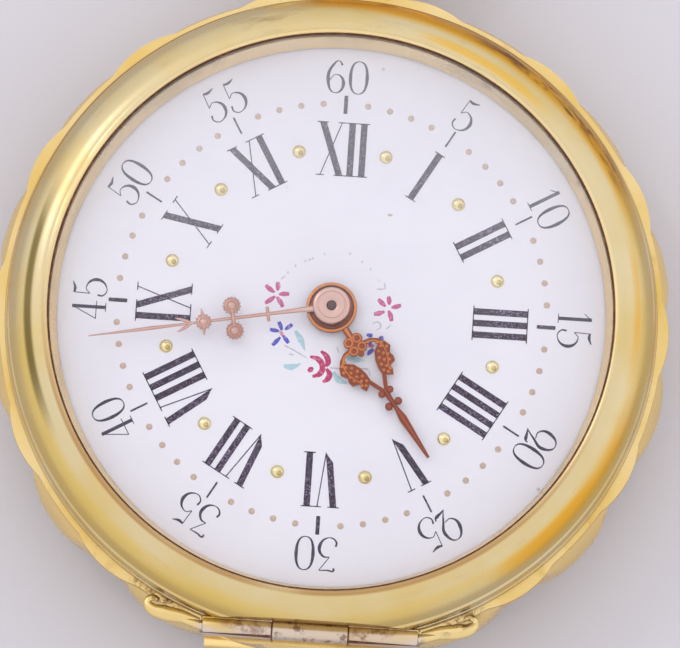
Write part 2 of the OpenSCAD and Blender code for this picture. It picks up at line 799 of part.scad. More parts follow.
// A ring of small round lobes round a point
module petals(count, reach, r, turn) {
    for (i = [0 : count - 1]) rotate(turn + i * 360 / count) translate([reach, 0]) circle(r = r, $fn = 24);
}

// A ring of sharp points round a disc
module star(count, inner_r, outer_r) {
    polygon([for (i = [0 : 2 * count - 1]) polar(i % 2 == 0 ? outer_r : inner_r, i * 180 / count)]);
}

module minute_hand_outline() {
    bar_y = 0.262 * minute_hand_l;
    rosette_y = 0.405 * minute_hand_l;
    star_y = 0.527 * minute_hand_l;
    barb_y = 0.573 * minute_hand_l;
    belly_y = 0.75 * minute_hand_l;
    polygon([[-0.11, 0], [-0.08, star_y], [-0.06, barb_y], [-0.1, belly_y], [-0.03, minute_hand_l],
        [0.03, minute_hand_l], [0.1, belly_y], [0.06, barb_y], [0.08, star_y], [0.11, 0]]);
    translate([-0.4, bar_y - 0.08]) square([0.8, 0.16]);
    translate([-0.6, rosette_y - 0.08]) square([1.2, 0.16]);
    for (side = [-1, 1]) {
        translate([side * 0.7, rosette_y]) difference() {
            star(12, 0.37, 0.45);
            petals(8, 0.29, 0.04, 0);
        }
        strut([0, barb_y], [side * 0.32, barb_y + 0.7], 0.1);
    }
    translate([0, star_y]) {
        rotate(90) star(11, 0.27, 0.42);
        translate([-0.62, -0.05]) square([1.24, 0.1]);
    }
}

module minute_hand() {
    color("rosybrown") translate([hub[0], hub[1], minute_hand_z]) difference() {
        union() {
            rotate(-minute_turn) linear_extrude(hand_t) minute_hand_outline();
            cylinder(r = boss_r, h = boss_h);
        }
        translate([0, 0, -eps]) cylinder(r = cannon_r, h = boss_h - boss_cap + eps, $fn = 40);
        translate([0, 0, -eps]) cylinder(r = cannon_bore_r, h = boss_h + 1, $fn = 40);
        translate([0, 0, boss_h - 0.06]) tube(0.7 * boss_r + 0.06, 0.7 * boss_r - 0.03, 1);
    }
}

// One toothed leaf of the hour hand on its thin stalk, to the right of the middle line
module hour_leaf() {
    polygon([[0.3, 2.28], [0.8, 2.36], [1.15, 2.6], [1.38, 2.92], [1.5, 3.25], [1.27, 3.55],
        [1.34, 3.78], [1.28, 4.04], [0.92, 4.12], [0.95, 4.36], [0.82, 4.62], [0.55, 4.45],
        [0.46, 4.32], [0.2, 5.05], [0, 5.25], [0, 5.0], [0.34, 4.25], [0.34, 3.9], [0.42, 3.5],
        [0.62, 3.1], [0.95, 2.86], [1.0, 2.76], [0.8, 2.56], [0.5, 2.46], [0.3, 2.48]]);
}

module hour_hand_outline() {
    difference() {
        union() {
            translate([-0.18, 0]) square([0.36, 2.4]);
            translate([0, 2.27]) {
                petals(4, 0.33, 0.29, 45);
                translate([0, 0.55]) circle(r = 0.16, $fn = 24);
            }
            for (side = [0, 1]) mirror([side, 0]) {
                hour_leaf();
                translate([0.25, 5.17]) circle(r = 0.18, $fn = 24);
                translate([0.28, 5.9]) circle(r = 0.2, $fn = 24);
            }
            polygon([[-0.16, 5.1], [-0.1, 6.1], [-0.21, 6.8], [-0.07, hour_hand_l],
                [0.07, hour_hand_l], [0.21, 6.8], [0.1, 6.1], [0.16, 5.1]]);
        }
        translate([0, 2.27]) {
            circle(r = 0.1, $fn = 24);
            petals(4, 0.35, 0.12, 45);
        }
    }
}

module hour_hand() {
    color("chocolate") translate([hub[0], hub[1], hour_hand_z]) difference() {
        union() {
            rotate(-hour_turn) linear_extrude(hand_t) hour_hand_outline();
            cylinder(r = hour_boss_r, h = hand_t + 0.14);
        }
        translate([0, 0, -eps]) cylinder(r = hour_tube_r, h = 1);
        translate([0, 0, hand_t]) cylinder(r = hour_boss_r - 0.2, h = 1);
    }
}

// Movement

// The turn that puts one gear in mesh with another that has a given turn
function meshed(turn, count, other_count, head) =
    head + 180 + (((head - turn) * count / 360 % 1) + 0.5) * 360 / other_count;

// A straight strip between two points
module strut(from, to, w) {
    translate(from) rotate(heading(from, to)) translate([0, -w / 2]) square([norm(to - from), w]);
}

// A wheel's arbor with a pivot at each end, between the plate and a bridge
module arbor(place, low, high) {
    at(place, low) cylinder(r = arbor_r, h = high - low, $fn = 32);
    at(place, low - jewel_t) cylinder(r = pivot_r, h = high - low + 2 * jewel_t, $fn = 24);
}

module jewel(place, z) {
    at(place, z) tube(jewel_r, pivot_r + run_clear, jewel_t);
}

// Hole for a jewel, a bush or a screw, straight through a plate or bridge
module hole(place, r) {
    at(place, 0) cylinder(r = r, h = 2 * band_top, $fn = 40);
}

module bridge_screw_hole(place) {
    hole(place, screw_r);
    at(place, bridge_z - 1) cylinder(r = screw_head_r + 0.05, h = 1 + screw_head_h, $fn = 40);
}

module bridge_outline_disc() {
    circle(r = bridge_r, $fn = 180);
}

// The round region that the train bridge covers, grown by a margin
module train_side(grow) {
    translate([9 * plan, hub_y - 6.5 * plan]) circle(r = 10.2 * plan + grow, $fn = 120);
}

module barrel_bridge_outline() {
    difference() {
        intersection() {
            bridge_outline_disc();
            translate([-bridge_r, -3.9 * plan]) square(3 * bridge_r);
        }
        train_side(0.2);
        translate(balance_at) circle(r = balance_edge_r + 0.35);
    }
}

module train_bridge_outline() {
    difference() {
        intersection() {
            bridge_outline_disc();
            train_side(0);
            translate([0, -7.4 * plan]) square(3 * bridge_r);
        }
        translate(balance_at) circle(r = balance_edge_r + 0.35);
    }
}

module balance_cock_outline() {
    translate(balance_at) circle(r = cock_r);
    intersection() {
        bridge_outline_disc();
        union() {
            polygon([balance_at + [-cock_r, 0], polar(bridge_r + 1, cock_from),
                polar(bridge_r + 1, cock_to), balance_at + [cock_r, 0]]);
            strut(balance_at, stud_at, 0.8);
            translate(stud_at) circle(r = 0.45);
        }
    }
}

// A bridge: a flat plate with a foot along the case's edge
module bridge_solid() {
    translate([0, 0, bridge_z]) linear_extrude(bridge_t) children();
    translate([0, 0, bridge_top - eps]) linear_extrude(train_h + eps) intersection() {
        children();
        difference() {
            bridge_outline_disc();
            circle(r = bridge_foot_r, $fn = 180);
        }
    }
}

module main_plate() {
    color("lightsteelblue") difference() {
        union() {
            translate([0, 0, plate_z]) cylinder(r = plate_r, h = plate_t, $fn = 180);
            translate([0, 0, plate_top - eps]) tube(plate_r, plate_r - plate_rim_w, works_h + eps);
            at(minute_wheel_at, plate_top - eps) cylinder(r = post_r, h = works_h - 0.1, $fn = 32);
            translate([-1.4, stem_block_y, stem_z - 0.75]) cube([2.8, 0.8, plate_z - stem_z + 0.8]);
            translate([-0.65, stem_tail_y + 0.7, stem_z - 0.5]) cube([1.3, 0.7, plate_z - stem_z + 0.55]);
        }
        hole(hub, arbor_r + 0.3);
        hole(barrel_at, barrel_pivot_r + run_clear);
        for (place = [third_at, fourth_at, escape_at, pallet_at, balance_at]) hole(place, jewel_r);
        for (turn = foot_turns) {
            hole(polar(foot_reach, turn), foot_r);
            rotate([0, 0, turn]) translate([foot_reach, 0, plate_z + plate_t / 2]) rotate([0, 90, 0])
                cylinder(r = foot_screw_r, h = plate_r, $fn = 32);
        }
        for (place = concat(barrel_bridge_screws, train_bridge_screws, cock_screws)) hole(place, screw_r);
        for (place = case_screw_places) hole(place, screw_r);
        for (place = [set_pivot, yoke_pivot, set_spring_at, yoke_spring_at, pallet_foot_at])
            hole(place, works_pin_r);
        translate([-window_w / 2, stem_square_y - 0.3, plate_z - eps])
            cube([window_w, winding_y + winding_l - stem_square_y + 0.4, plate_t + 1]);
        translate([-pinion_window_w / 2, winding_y - 0.1, plate_z - eps])
            cube([pinion_window_w, winding_l + 0.2, plate_t + 1]);
        translate([0.2, stem_groove_y - 0.2, stem_z]) cube([0.7, crown_travel + 0.8, 3]);
        at(setting_at, plate_top - setting_sink)
            tube(hand_m * setting_teeth / 2 + 0.3, post_r, setting_sink + 1);
        along_stem(0) cylinder(r = stem_r + run_clear, h = 2 * band_r, $fn = 40);
    }
}

module barrel_drum() {
    color("gold") at(barrel_at, 0) difference() {
        union() {
            translate([0, 0, drum_z]) cylinder(r = drum_r, h = drum_h);
            translate([0, 0, barrel_teeth_z]) gear(barrel_teeth, barrel_m, barrel_teeth_h, arbor_r, 0);
        }
        translate([0, 0, drum_z - eps]) cylinder(r = drum_r - drum_wall, h = drum_h - drum_floor + eps);
        cylinder(r = barrel_pivot_r + run_clear, h = 2 * drum_z);
    }
}

module barrel_lid() {
    color("khaki") at(barrel_at, drum_z) tube(drum_r - drum_wall, barrel_pivot_r + run_clear, drum_floor);
}

// Outline of a flat spiral strip
function spiral_points(r_in, r_out, turns, w) = concat(
    [for (i = [0 : turns * 20]) polar(r_in + (r_out - r_in) * i / (turns * 20), i * 18)],
    [for (i = [turns * 20 : -1 : 0]) polar(r_in + w + (r_out - r_in) * i / (turns * 20), i * 18)]);

module mainspring() {
    color("steelblue") at(barrel_at, drum_z + drum_floor + 0.05)
        linear_extrude(drum_h - 2 * drum_floor - 0.1)
            polygon(spiral_points(core_r + 0.05, drum_r - drum_wall - 0.2, 8, 0.15));
}

module barrel_arbor() {
    square_s = 1.3 * barrel_pivot_r;
    color("silver") difference() {
        union() {
            at(barrel_at, drum_z + drum_floor + 0.03)
                cylinder(r = core_r, h = drum_h - 2 * drum_floor - 0.06);
            at(barrel_at, bridge_z) cylinder(r = barrel_pivot_r, h = plate_z + plate_t / 2 - bridge_z);
            translate([barrel_at[0] - square_s / 2, barrel_at[1] - square_s / 2, winding_z])
                cube([square_s, square_s, bridge_z - winding_z + eps]);
        }
        at(barrel_at, winding_z - eps) cylinder(r = ratchet_screw_r, h = 0.8);
    }
}

module ratchet_wheel() {
    square_s = 1.3 * barrel_pivot_r + 0.02;
    color("silver") difference() {
        at(barrel_at, winding_z) gear(ratchet_teeth, winding_module, winding_t, 0.1, ratchet_turn);
        translate([barrel_at[0] - square_s / 2, barrel_at[1] - square_s / 2, winding_z - 1])
            cube([square_s, square_s, 3]);
    }
}

module ratchet_screw() {
    color("steelblue") at(barrel_at, winding_z - screw_head_h)
        screw(2 * screw_head_r, screw_head_h, ratchet_screw_r, 0.75);
}

module crown_wheel() {
    color("silver") at(crown_wheel_at, winding_z)
        gear(crown_wheel_teeth, winding_module, winding_t, crown_core_r + run_clear, crown_wheel_turn);
}

// The core that the crown wheel turns on, with its broad slotted head
module crown_wheel_screw() {
    color("steelblue") {
        at(crown_wheel_at, winding_z - screw_head_h - run_clear)
            screw(2 * screw_head_r, screw_head_h, screw_r, bridge_t + 0.4);
        at(crown_wheel_at, winding_z - run_clear - eps)
            cylinder(r = crown_core_r, h = bridge_z - winding_z + run_clear + eps);
    }
}

module click_outline() {
    difference() {
        union() {
            translate(click_at) circle(r = 0.75);
            strut(click_at, click_tip + polar(click_w / 2, click_lean - 90), click_w);
        }
        translate(click_at) circle(r = click_core_r + run_clear);
    }
}

module click() {
    color("silver") translate([0, 0, winding_z]) linear_extrude(winding_t) click_outline();
}

module click_screw() {
    color("steelblue") {
        at(click_at, winding_z - screw_head_h - run_clear)
            screw(0.65, screw_head_h, screw_r * 0.8, bridge_t + 0.4);
        at(click_at, winding_z - run_clear - eps)
            cylinder(r = click_core_r, h = bridge_z - winding_z + run_clear + eps);
    }
}

module click_spring() {
    color("silver") {
        translate([0, 0, winding_z + 0.1]) linear_extrude(bridge_z - winding_z - 0.1) difference() {
            union() {
                intersection() {
                    translate(click_at) circle(r = 1.2);
                    translate(click_at + [-3, -3]) square([3, 6]);
                }
                translate(click_at + [0, 1.1]) circle(r = 0.4, $fn = 32);
            }
            translate(click_at) circle(r = 1.02);
        }
    }
}

module barrel_bridge() {
    color("lightsteelblue") difference() {
        bridge_solid() barrel_bridge_outline();
        hole(barrel_at, barrel_pivot_r + run_clear);
        hole(hub, pivot_r + run_clear);
        hole(crown_wheel_at, screw_r);
        hole(click_at, screw_r * 0.8);
        for (place = barrel_bridge_screws) bridge_screw_hole(place);
        along_stem(stem_square_y - 0.9) cylinder(r = slide_r + 0.1, h = winding_y - stem_square_y + 0.9);
        along_stem(winding_y - 0.1) cylinder(r = winding_r + 0.1, h = winding_l + 0.2);
        translate([-1.5, winding_y + winding_l, bridge_top]) cube([3, 4, train_h + 1]);
        along_stem(winding_y) cylinder(r = stem_r + 0.2, h = band_r);
    }
}

module center_wheel() {
    color("gold") {
        at(hub, centre_z) crossed_wheel(centre_teeth, centre_m, wheel_t, 0.8, 0.05, 5, 0);
        at(hub, drum_z + 0.1) gear(centre_leaves, barrel_m, centre_z - drum_z - 0.1 + eps, 0.05,
            meshed(0, barrel_teeth, centre_leaves, heading(barrel_at, hub)));
        at(hub, bridge_top - jewel_t) cylinder(r = pivot_r, h = 1, $fn = 24);
        at(hub, drum_z) cylinder(r = cannon_bore_r - run_clear, h = arbor_tip_z - drum_z, $fn = 40);
        at(hub, centre_z) cylinder(r = arbor_r + 0.25, h = plate_top - centre_z, $fn = 40);
    }
}

module third_wheel() {
    color("gold") {
        at(third_at, third_z) crossed_wheel(third_teeth, third_m, wheel_t, 0.7, 0.05, 5, 0);
        at(third_at, centre_z - 0.1) gear(third_leaves, centre_m, wheel_t + 0.2, 0.05,
            meshed(0, centre_teeth, third_leaves, heading(hub, third_at)));
        arbor(third_at, bridge_top + 0.05, plate_z - 0.05);
    }
}

module fourth_wheel() {
    color("gold") {
        at(fourth_at, fourth_z) crossed_wheel(fourth_teeth, fourth_m, wheel_t, 0.65, 0.05, 5, 0);
        at(fourth_at, third_z - 0.1) gear(fourth_leaves, third_m, wheel_t + 0.2, 0.05,
            meshed(0, third_teeth, fourth_leaves, heading(third_at, fourth_at)));
        arbor(fourth_at, bridge_top + 0.05, plate_z - 0.05);
    }
}

// Fifteen club-shaped teeth, leaning forward
function escape_points() = [
    for (i = [0 : escape_teeth - 1], k = [[-9, 0.76], [-2.5, 0.99], [1.5, 1], [2.5, 0.95], [3.5, 0.78]])
        polar(escape_tip_r * k[1], i * 360 / escape_teeth + k[0])
];

module escape_wheel() {
    color("silver") {
        at(escape_at, escape_z) linear_extrude(wheel_t) difference() {
            polygon(escape_points());
            difference() {
                circle(r = 0.62 * escape_tip_r);
                circle(r = 0.55);
                for (i = [0 : 3]) rotate(i * 90) translate([0, -0.12]) square([escape_tip_r, 0.24]);
            }
        }
        at(escape_at, fourth_z - 0.1) gear(escape_leaves, fourth_m, wheel_t + 0.2, 0.05,
            meshed(0, fourth_teeth, escape_leaves, heading(fourth_at, escape_at)));
        arbor(escape_at, bridge_top + 0.05, plate_z - 0.05);
    }
}

module train_bridge() {
    color("lightsteelblue") difference() {
        bridge_solid() train_bridge_outline();
        for (place = [third_at, fourth_at, escape_at]) hole(place, jewel_r);
        for (place = train_bridge_screws) bridge_screw_hole(place);
    }
}

module pallet_outline() {
    translate(pallet_at) circle(r = 0.4, $fn = 32);
    for (side = [-1, 1]) {
        stone_at = escape_at + polar(escape_tip_r + 0.3, lever_line + side * 30);
        strut(pallet_at, stone_at, 0.3);
        translate(escape_at) rotate(lever_line + side * 30)
            translate([escape_tip_r + 0.03, -0.11]) square([0.55, 0.22]);
    }
    notch = lever_reach - impulse_r - 0.12;
    strut(pallet_at, pallet_at + polar(notch - 0.35, lever_line), 0.24);
    translate(pallet_at) rotate(lever_line) difference() {
        translate([notch - 0.4, -0.3]) square([0.4, 0.6]);
        translate([notch - 0.22, -0.11]) square([0.4, 0.22]);
    }
}

module pallet_fork() {
    color("silver") {
        translate([0, 0, lever_z]) linear_extrude(0.2) pallet_outline();
        arbor(pallet_at, pallet_cock_z + pallet_cock_t + 0.05, plate_z - 0.05);
    }
}

module pallet_cock() {
    color("lightsteelblue") difference() {
        union() {
            translate([0, 0, pallet_cock_z]) linear_extrude(pallet_cock_t) {
                translate(pallet_at) circle(r = 0.62, $fn = 40);
                strut(pallet_at, pallet_foot_at, 0.9);
                translate(pallet_foot_at) circle(r = 0.6, $fn = 40);
            }
            at(pallet_foot_at, pallet_cock_z) cylinder(r = 0.6, h = plate_z - pallet_cock_z, $fn = 40);
        }
        hole(pallet_at, jewel_r - 0.1);
        hole(pallet_foot_at, works_pin_r);
    }
}

module balance_wheel() {
    arm_t = balance_rim_h * 0.6;
    color("gold") difference() {
        at(balance_at, balance_z) {
            tube(balance_rim_r, balance_rim_r - 0.4, balance_rim_h);
            cylinder(r = 0.6, h = arm_t);
            translate([-0.3, 0.2 - balance_rim_r, 0]) cube([0.6, 2 * balance_rim_r - 0.4, arm_t]);
        }
        at(balance_at, balance_z - eps) cylinder(r = arbor_r, h = 1, $fn = 32);
        balance_screw_ring();
    }
}

// The timing screws round the balance's rim, sunk in it
module balance_screw_ring() {
    for (i = [0 : balance_screw_count - 1]) at(balance_at, balance_z + balance_rim_h / 2)
        rotate([0, 90, (i + 0.5) * 360 / balance_screw_count])
            translate([0, 0, balance_rim_r - balance_screw_sink])
                cylinder(r = balance_rim_h * 0.4, h = balance_screw_l + balance_screw_sink, $fn = 24);
}

module balance_screws() {
    color("goldenrod") balance_screw_ring();
}

// The staff with its roller and impulse pin
module balance_staff() {
    color("silver") {
        arbor(balance_at, bridge_top + 0.02, plate_z - 0.05);
        at(balance_at, lever_z - 0.2) cylinder(r = impulse_r + 0.2, h = 0.15, $fn = 40);
        at(balance_at + polar(impulse_r, lever_line + 180), lever_z - 0.1)
            cylinder(r = 0.08, h = 0.3, $fn = 20);
    }
}

module hairspring() {
    color("steelblue") {
        at(balance_at, spring_z) linear_extrude(spring_h)
            rotate(stud_turn) polygon(spiral_points(collet_r - 0.02, stud_reach - 0.1, spring_turns, 0.05));
        at(balance_at, spring_z) tube(collet_r, arbor_r, spring_h);
    }
}

module hairspring_stud() {
    color("silver") at(stud_at, bridge_top)
        cylinder(r = 0.18, h = spring_z + spring_h - bridge_top, $fn = 24);
}

module balance_cock() {
    color("lightsteelblue") difference() {
        bridge_solid() balance_cock_outline();
        hole(balance_at, jewel_r);
        for (place = cock_screws) bridge_screw_hole(place);
    }
}

// The index that shortens or frees the hairspring
module regulator() {
    color("silver") at(balance_at, bridge_z - regulator_t - 0.03) linear_extrude(regulator_t) {
        difference() {
            circle(r = 1.25);
            circle(r = cap_r + run_clear);
        }
        rotate(cock_mid) polygon([[1.1, -0.3], [3.8, -0.06], [3.8, 0.06], [1.1, 0.3]]);
    }
}

// The end piece that holds the balance's cap jewel and the regulator
module balance_cap() {
    color("brown") {
        at(balance_at, bridge_z - regulator_t - 0.06) cylinder(r = cap_r, h = regulator_t + 0.06);
        at(balance_at, bridge_z - regulator_t - 0.16) cylinder(r = cap_r + 0.15, h = 0.1);
    }
}

module train_jewels() {
    color("crimson") {
        for (place = [third_at, fourth_at, escape_at, pallet_at, balance_at]) jewel(place, plate_z);
        for (place = [third_at, fourth_at, escape_at, balance_at]) jewel(place, bridge_top - jewel_t);
        at(pallet_at, pallet_cock_z) tube(jewel_r - 0.1, pivot_r + run_clear, pallet_cock_t);
    }
}

module bridge_screws() {
    color("steelblue") {
        for (place = concat(barrel_bridge_screws, train_bridge_screws, cock_screws)) at(place, bridge_z)
            screw(screw_head_r, screw_head_h, screw_r, plate_top - bridge_z - screw_head_h - 0.1);
        at(pallet_foot_at, pallet_cock_z - 0.12)
            screw(0.45, 0.12, works_pin_r, plate_top - pallet_cock_z - 0.1);
    }
}

module case_screws() {
    color("steelblue") for (place = case_screw_places) at(place, plate_z - ledge_t - screw_head_h)
        screw(case_screw_head_r, screw_head_h, screw_r, ledge_t + plate_t - 0.1);
}

// Wheels that carry the hands

module cannon_pinion() {
    color("silver") difference() {
        union() {
            at(hub, minute_wheel_z) gear(cannon_leaves, hand_m, works_wheel_t, 0.1,
                meshed(0, minute_teeth, cannon_leaves, heading(minute_wheel_at, hub)));
            at(hub, minute_wheel_z)
                cylinder(r = cannon_r, h = minute_hand_z + boss_h - boss_cap - minute_wheel_z, $fn = 40);
        }
        hole(hub, cannon_bore_r);
    }
}

module minute_wheel() {
    color("gold") difference() {
        union() {
            at(minute_wheel_at, minute_wheel_z) gear(minute_teeth, hand_m, works_wheel_t, 0.1, 0);
            at(minute_wheel_at, minute_wheel_z + works_wheel_t - eps) gear(minute_leaves, hand_m,
                hour_wheel_z - minute_wheel_z, 0.1,
                meshed(0, hour_teeth, minute_leaves, heading(hub, minute_wheel_at)));
        }
        hole(minute_wheel_at, post_r + run_clear);
    }
}

module hour_wheel() {
    color("gold") difference() {
        union() {
            at(hub, hour_wheel_z) gear(hour_teeth, hand_m, works_wheel_t, 0.1, 0);
            at(hub, hour_wheel_z)
                cylinder(r = hour_tube_r, h = hour_hand_z + hand_t + 0.1 - hour_wheel_z, $fn = 40);
        }
        hole(hub, hour_bore_r);
    }
}

// Winding and setting works

module winding_pinion() {
    color("silver") along_stem(winding_y) difference() {
        gear_blank(winding_teeth, winding_r, winding_l);
        translate([0, 0, -eps]) cylinder(r = stem_r, h = winding_l + 1, $fn = 40);
    }
}

// A toothed drum whose outermost radius is given
module gear_blank(count, tip_r, h) {
    gear(count, tip_r / (count / 2 + tooth_tip), h, 0.1, 90);
}

// The clutch on the stem's square, with its groove for the yoke
module sliding_pinion() {
    square_s = 1.3 * stem_r + 2 * run_clear;
    length = winding_y - slide_y - 0.05;
    color("silver") difference() {
        along_stem(slide_y) {
            gear_blank(16, slide_r, 0.5);
            cylinder(r = 0.6, h = length);
            translate([0, 0, length - 0.7]) cylinder(r = slide_r - 0.1, h = 0.7);
        }
        translate([-square_s / 2, slide_y - 1, stem_z - square_s / 2])
            cube([square_s, length + 2, square_s]);
    }
}

module setting_wheel() {
    color("silver") at(setting_at, plate_top - setting_sink + 0.05) gear(setting_teeth, hand_m,
        setting_sink + works_wheel_t, post_r + run_clear,
        meshed(0, minute_teeth, setting_teeth, heading(minute_wheel_at, setting_at)));
}

// The lever that the stem turns when the crown is pulled out
module setting_lever() {
    pin_at = [stem_r / 2 + works_pin_r + run_clear, stem_groove_y + stem_groove_l / 2];
    color("silver") {
        translate([0, 0, works_z]) linear_extrude(works_t) {
            translate(set_pivot) circle(r = 0.6, $fn = 40);
            strut(set_pivot, pin_at, 0.5);
            translate(pin_at) circle(r = 0.25, $fn = 24);
            strut(set_pivot, set_pivot + [-0.6, -1.9], 0.55);
        }
        at(pin_at, stem_z) cylinder(r = works_pin_r - run_clear, h = works_z - stem_z + eps, $fn = 24);
        at(set_pivot, plate_z + 0.1) cylinder(r = works_pin_r - run_clear, h = works_z - plate_z, $fn = 24);
    }
}

// The forked lever that slides the clutch along the stem
module yoke() {
    pin_at = [-(0.6 + works_pin_r + run_clear), slide_y + 0.85];
    color("silver") {
        translate([0, 0, works_z]) linear_extrude(works_t) {
            translate(yoke_pivot) circle(r = 0.6, $fn = 40);
            strut(yoke_pivot, pin_at, 0.5);
            translate(pin_at) circle(r = 0.25, $fn = 24);
        }
        at(pin_at, stem_z) cylinder(r = works_pin_r, h = works_z - stem_z + eps, $fn = 24);
        at(yoke_pivot, plate_z + 0.1)
            cylinder(r = works_pin_r - run_clear, h = works_z - plate_z, $fn = 24);
    }
}

module setting_spring() {
    color("silver") {
        translate([0, 0, works_z + works_t + 0.04]) linear_extrude(works_t * 0.8) {
            translate(set_spring_at) circle(r = 0.7, $fn = 40);
            strut(set_spring_at, set_pivot + [0.1, -1.0], 0.7);
            strut(set_pivot + [0.1, -1.0], set_pivot + [-0.9, 0.1], 0.3);
        }
        at(set_spring_at, plate_z + 0.1)
            cylinder(r = works_pin_r, h = works_z + works_t - plate_z, $fn = 24);
        at(set_spring_at, plate_top) cylinder(r = 0.7, h = works_z + works_t - plate_top + 0.05, $fn = 40);
    }
}

module yoke_spring() {
    color("silver") {
        translate([0, 0, works_z]) linear_extrude(works_t) {
            translate(yoke_spring_at) circle(r = 0.6, $fn = 40);
            strut(yoke_spring_at, yoke_pivot + [-0.2, 0.72], 0.2);
            strut(yoke_pivot + [-0.3, 0.72], yoke_pivot + [0.9, 0.62], 0.2);
        }
        at(yoke_spring_at, plate_z + 0.1) cylinder(r = works_pin_r, h = works_z - plate_z, $fn = 24);
        at(yoke_spring_at, plate_top) cylinder(r = 0.6, h = works_z - plate_top + eps, $fn = 40);
    }
}

case_band();
bezel();
crystal();
back_cover();
cuvette();
bezel_hinge_pin();
back_hinge_pin();
cuvette_hinge_pin();
pendant();
stem_sleeve();
bow();
crown();
stem();
dial();
dial_feet();
dial_foot_screws();
hour_hand();
minute_hand();
cannon_pinion();
minute_wheel();
hour_wheel();
main_plate();
barrel_drum();
barrel_lid();
barrel_arbor();
mainspring();
ratchet_wheel();
ratchet_screw();
crown_wheel();
crown_wheel_screw();
click();
click_screw();
click_spring();
barrel_bridge();
center_wheel();
third_wheel();
fourth_wheel();
escape_wheel();
train_bridge();
pallet_fork();
pallet_cock();
balance_wheel();
balance_screws();
balance_staff();
hairspring();
hairspring_stud();
balance_cock();
regulator();
balance_cap();
train_jewels();
bridge_screws();
case_screws();
winding_pinion();
sliding_pinion();
setting_wheel();
setting_lever();
yoke();
setting_spring();
yoke_spring();
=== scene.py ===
"""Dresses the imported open-face fob watch: gold case, enamel dial, hands, crystal and movement."""

from __future__ import annotations

import functools
import json
import logging
import math
from dataclasses import dataclass
from enum import Enum
from typing import Any, Callable, Iterable, Mapping, Sequence

import bmesh
import bpy
from mathutils import Matrix, Vector

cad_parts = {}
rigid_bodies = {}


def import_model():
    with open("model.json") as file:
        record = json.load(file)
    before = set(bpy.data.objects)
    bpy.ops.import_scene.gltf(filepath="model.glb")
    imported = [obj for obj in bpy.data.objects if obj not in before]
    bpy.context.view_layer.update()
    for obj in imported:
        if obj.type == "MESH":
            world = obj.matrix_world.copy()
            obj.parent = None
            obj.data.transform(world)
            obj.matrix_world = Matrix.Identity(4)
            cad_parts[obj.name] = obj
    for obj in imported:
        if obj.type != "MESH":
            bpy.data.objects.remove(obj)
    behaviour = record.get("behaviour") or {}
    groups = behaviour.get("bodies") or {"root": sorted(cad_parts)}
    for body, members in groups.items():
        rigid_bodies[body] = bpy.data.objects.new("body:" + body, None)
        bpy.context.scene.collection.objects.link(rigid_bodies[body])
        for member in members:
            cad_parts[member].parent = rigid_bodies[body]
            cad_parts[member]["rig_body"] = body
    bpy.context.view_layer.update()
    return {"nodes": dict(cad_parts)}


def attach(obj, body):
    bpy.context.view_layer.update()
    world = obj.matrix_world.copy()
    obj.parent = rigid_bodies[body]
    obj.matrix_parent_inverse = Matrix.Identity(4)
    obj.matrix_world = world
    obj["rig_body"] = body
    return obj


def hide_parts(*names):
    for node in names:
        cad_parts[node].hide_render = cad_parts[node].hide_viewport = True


LOG = logging.getLogger("fob_watch")

Triple = tuple[float, float, float]
Colour = Triple
Point = tuple[float, float]
Stroke = tuple[Triple, ...]

MM = 0.001
DIAL_TOP = 7.4
HUB: Point = (0.0, 0.3)


class Body(Enum):
    """The moving bodies that new pieces ride on."""

    CASE = "case"
    BEZEL = "bezel"
    MINUTE = "minute"
    HOUR = "hour"


class Slot(Enum):
    """The record's material slots, named with new pieces but not given to them."""

    CASE_GOLD = "case_gold"
    HINGE_GOLD = "hinge_gold"
    ENAMEL = "enamel"
    BLUED_STEEL = "blued_steel"
    ROSE_GOLD = "rose_gold"
    COPPER_GOLD = "copper_gold"


# Shader graph


def maths(operation: str, reflected: bool = False) -> Callable[..., Value]:
    """Makes a method of Value that adds one Math node.

    Args:
        operation: the Math node's operation.
        reflected: whether the value itself comes second.

    Returns:
        The method.
    """

    def method(self: Value, other: Any = 0.0) -> Value:
        """Adds the Math node.

        Args:
            other: the other operand, where the operation has one.

        Returns:
            The node's value.
        """
        pair = (other, self) if reflected else (self, other)
        node = self.graph.node("ShaderNodeMath", {"operation": operation}, dict(enumerate(pair)))
        return Value(self.graph, node.outputs[0])

    return method


class Value:
    """A number socket that takes part in Python arithmetic."""

    __add__ = maths("ADD")
    __radd__ = maths("ADD", reflected=True)
    __rsub__ = maths("SUBTRACT", reflected=True)
    __mul__ = maths("MULTIPLY")
    __rmul__ = maths("MULTIPLY", reflected=True)
    __truediv__ = maths("DIVIDE")
    least = maths("MINIMUM")
    fraction = maths("FRACT")
    bearing = maths("ARCTAN2")

    def __init__(self, graph: Graph, socket: bpy.types.NodeSocket) -> None:
        """Keeps the graph and the socket."""
        self.graph = graph
        self.socket = socket

    def ramp(self, low: float, high: float) -> Value:
        """Eases from 0 at low to 1 at high.

        Args:
            low: the value that gives 0.
            high: the value that gives 1.

        Returns:
            The eased value.
        """
        settings = {"interpolation_type": "SMOOTHSTEP"}
        node = self.graph.node("ShaderNodeMapRange", settings, {0: self, 1: low, 2: high})
        return Value(self.graph, node.outputs[0])


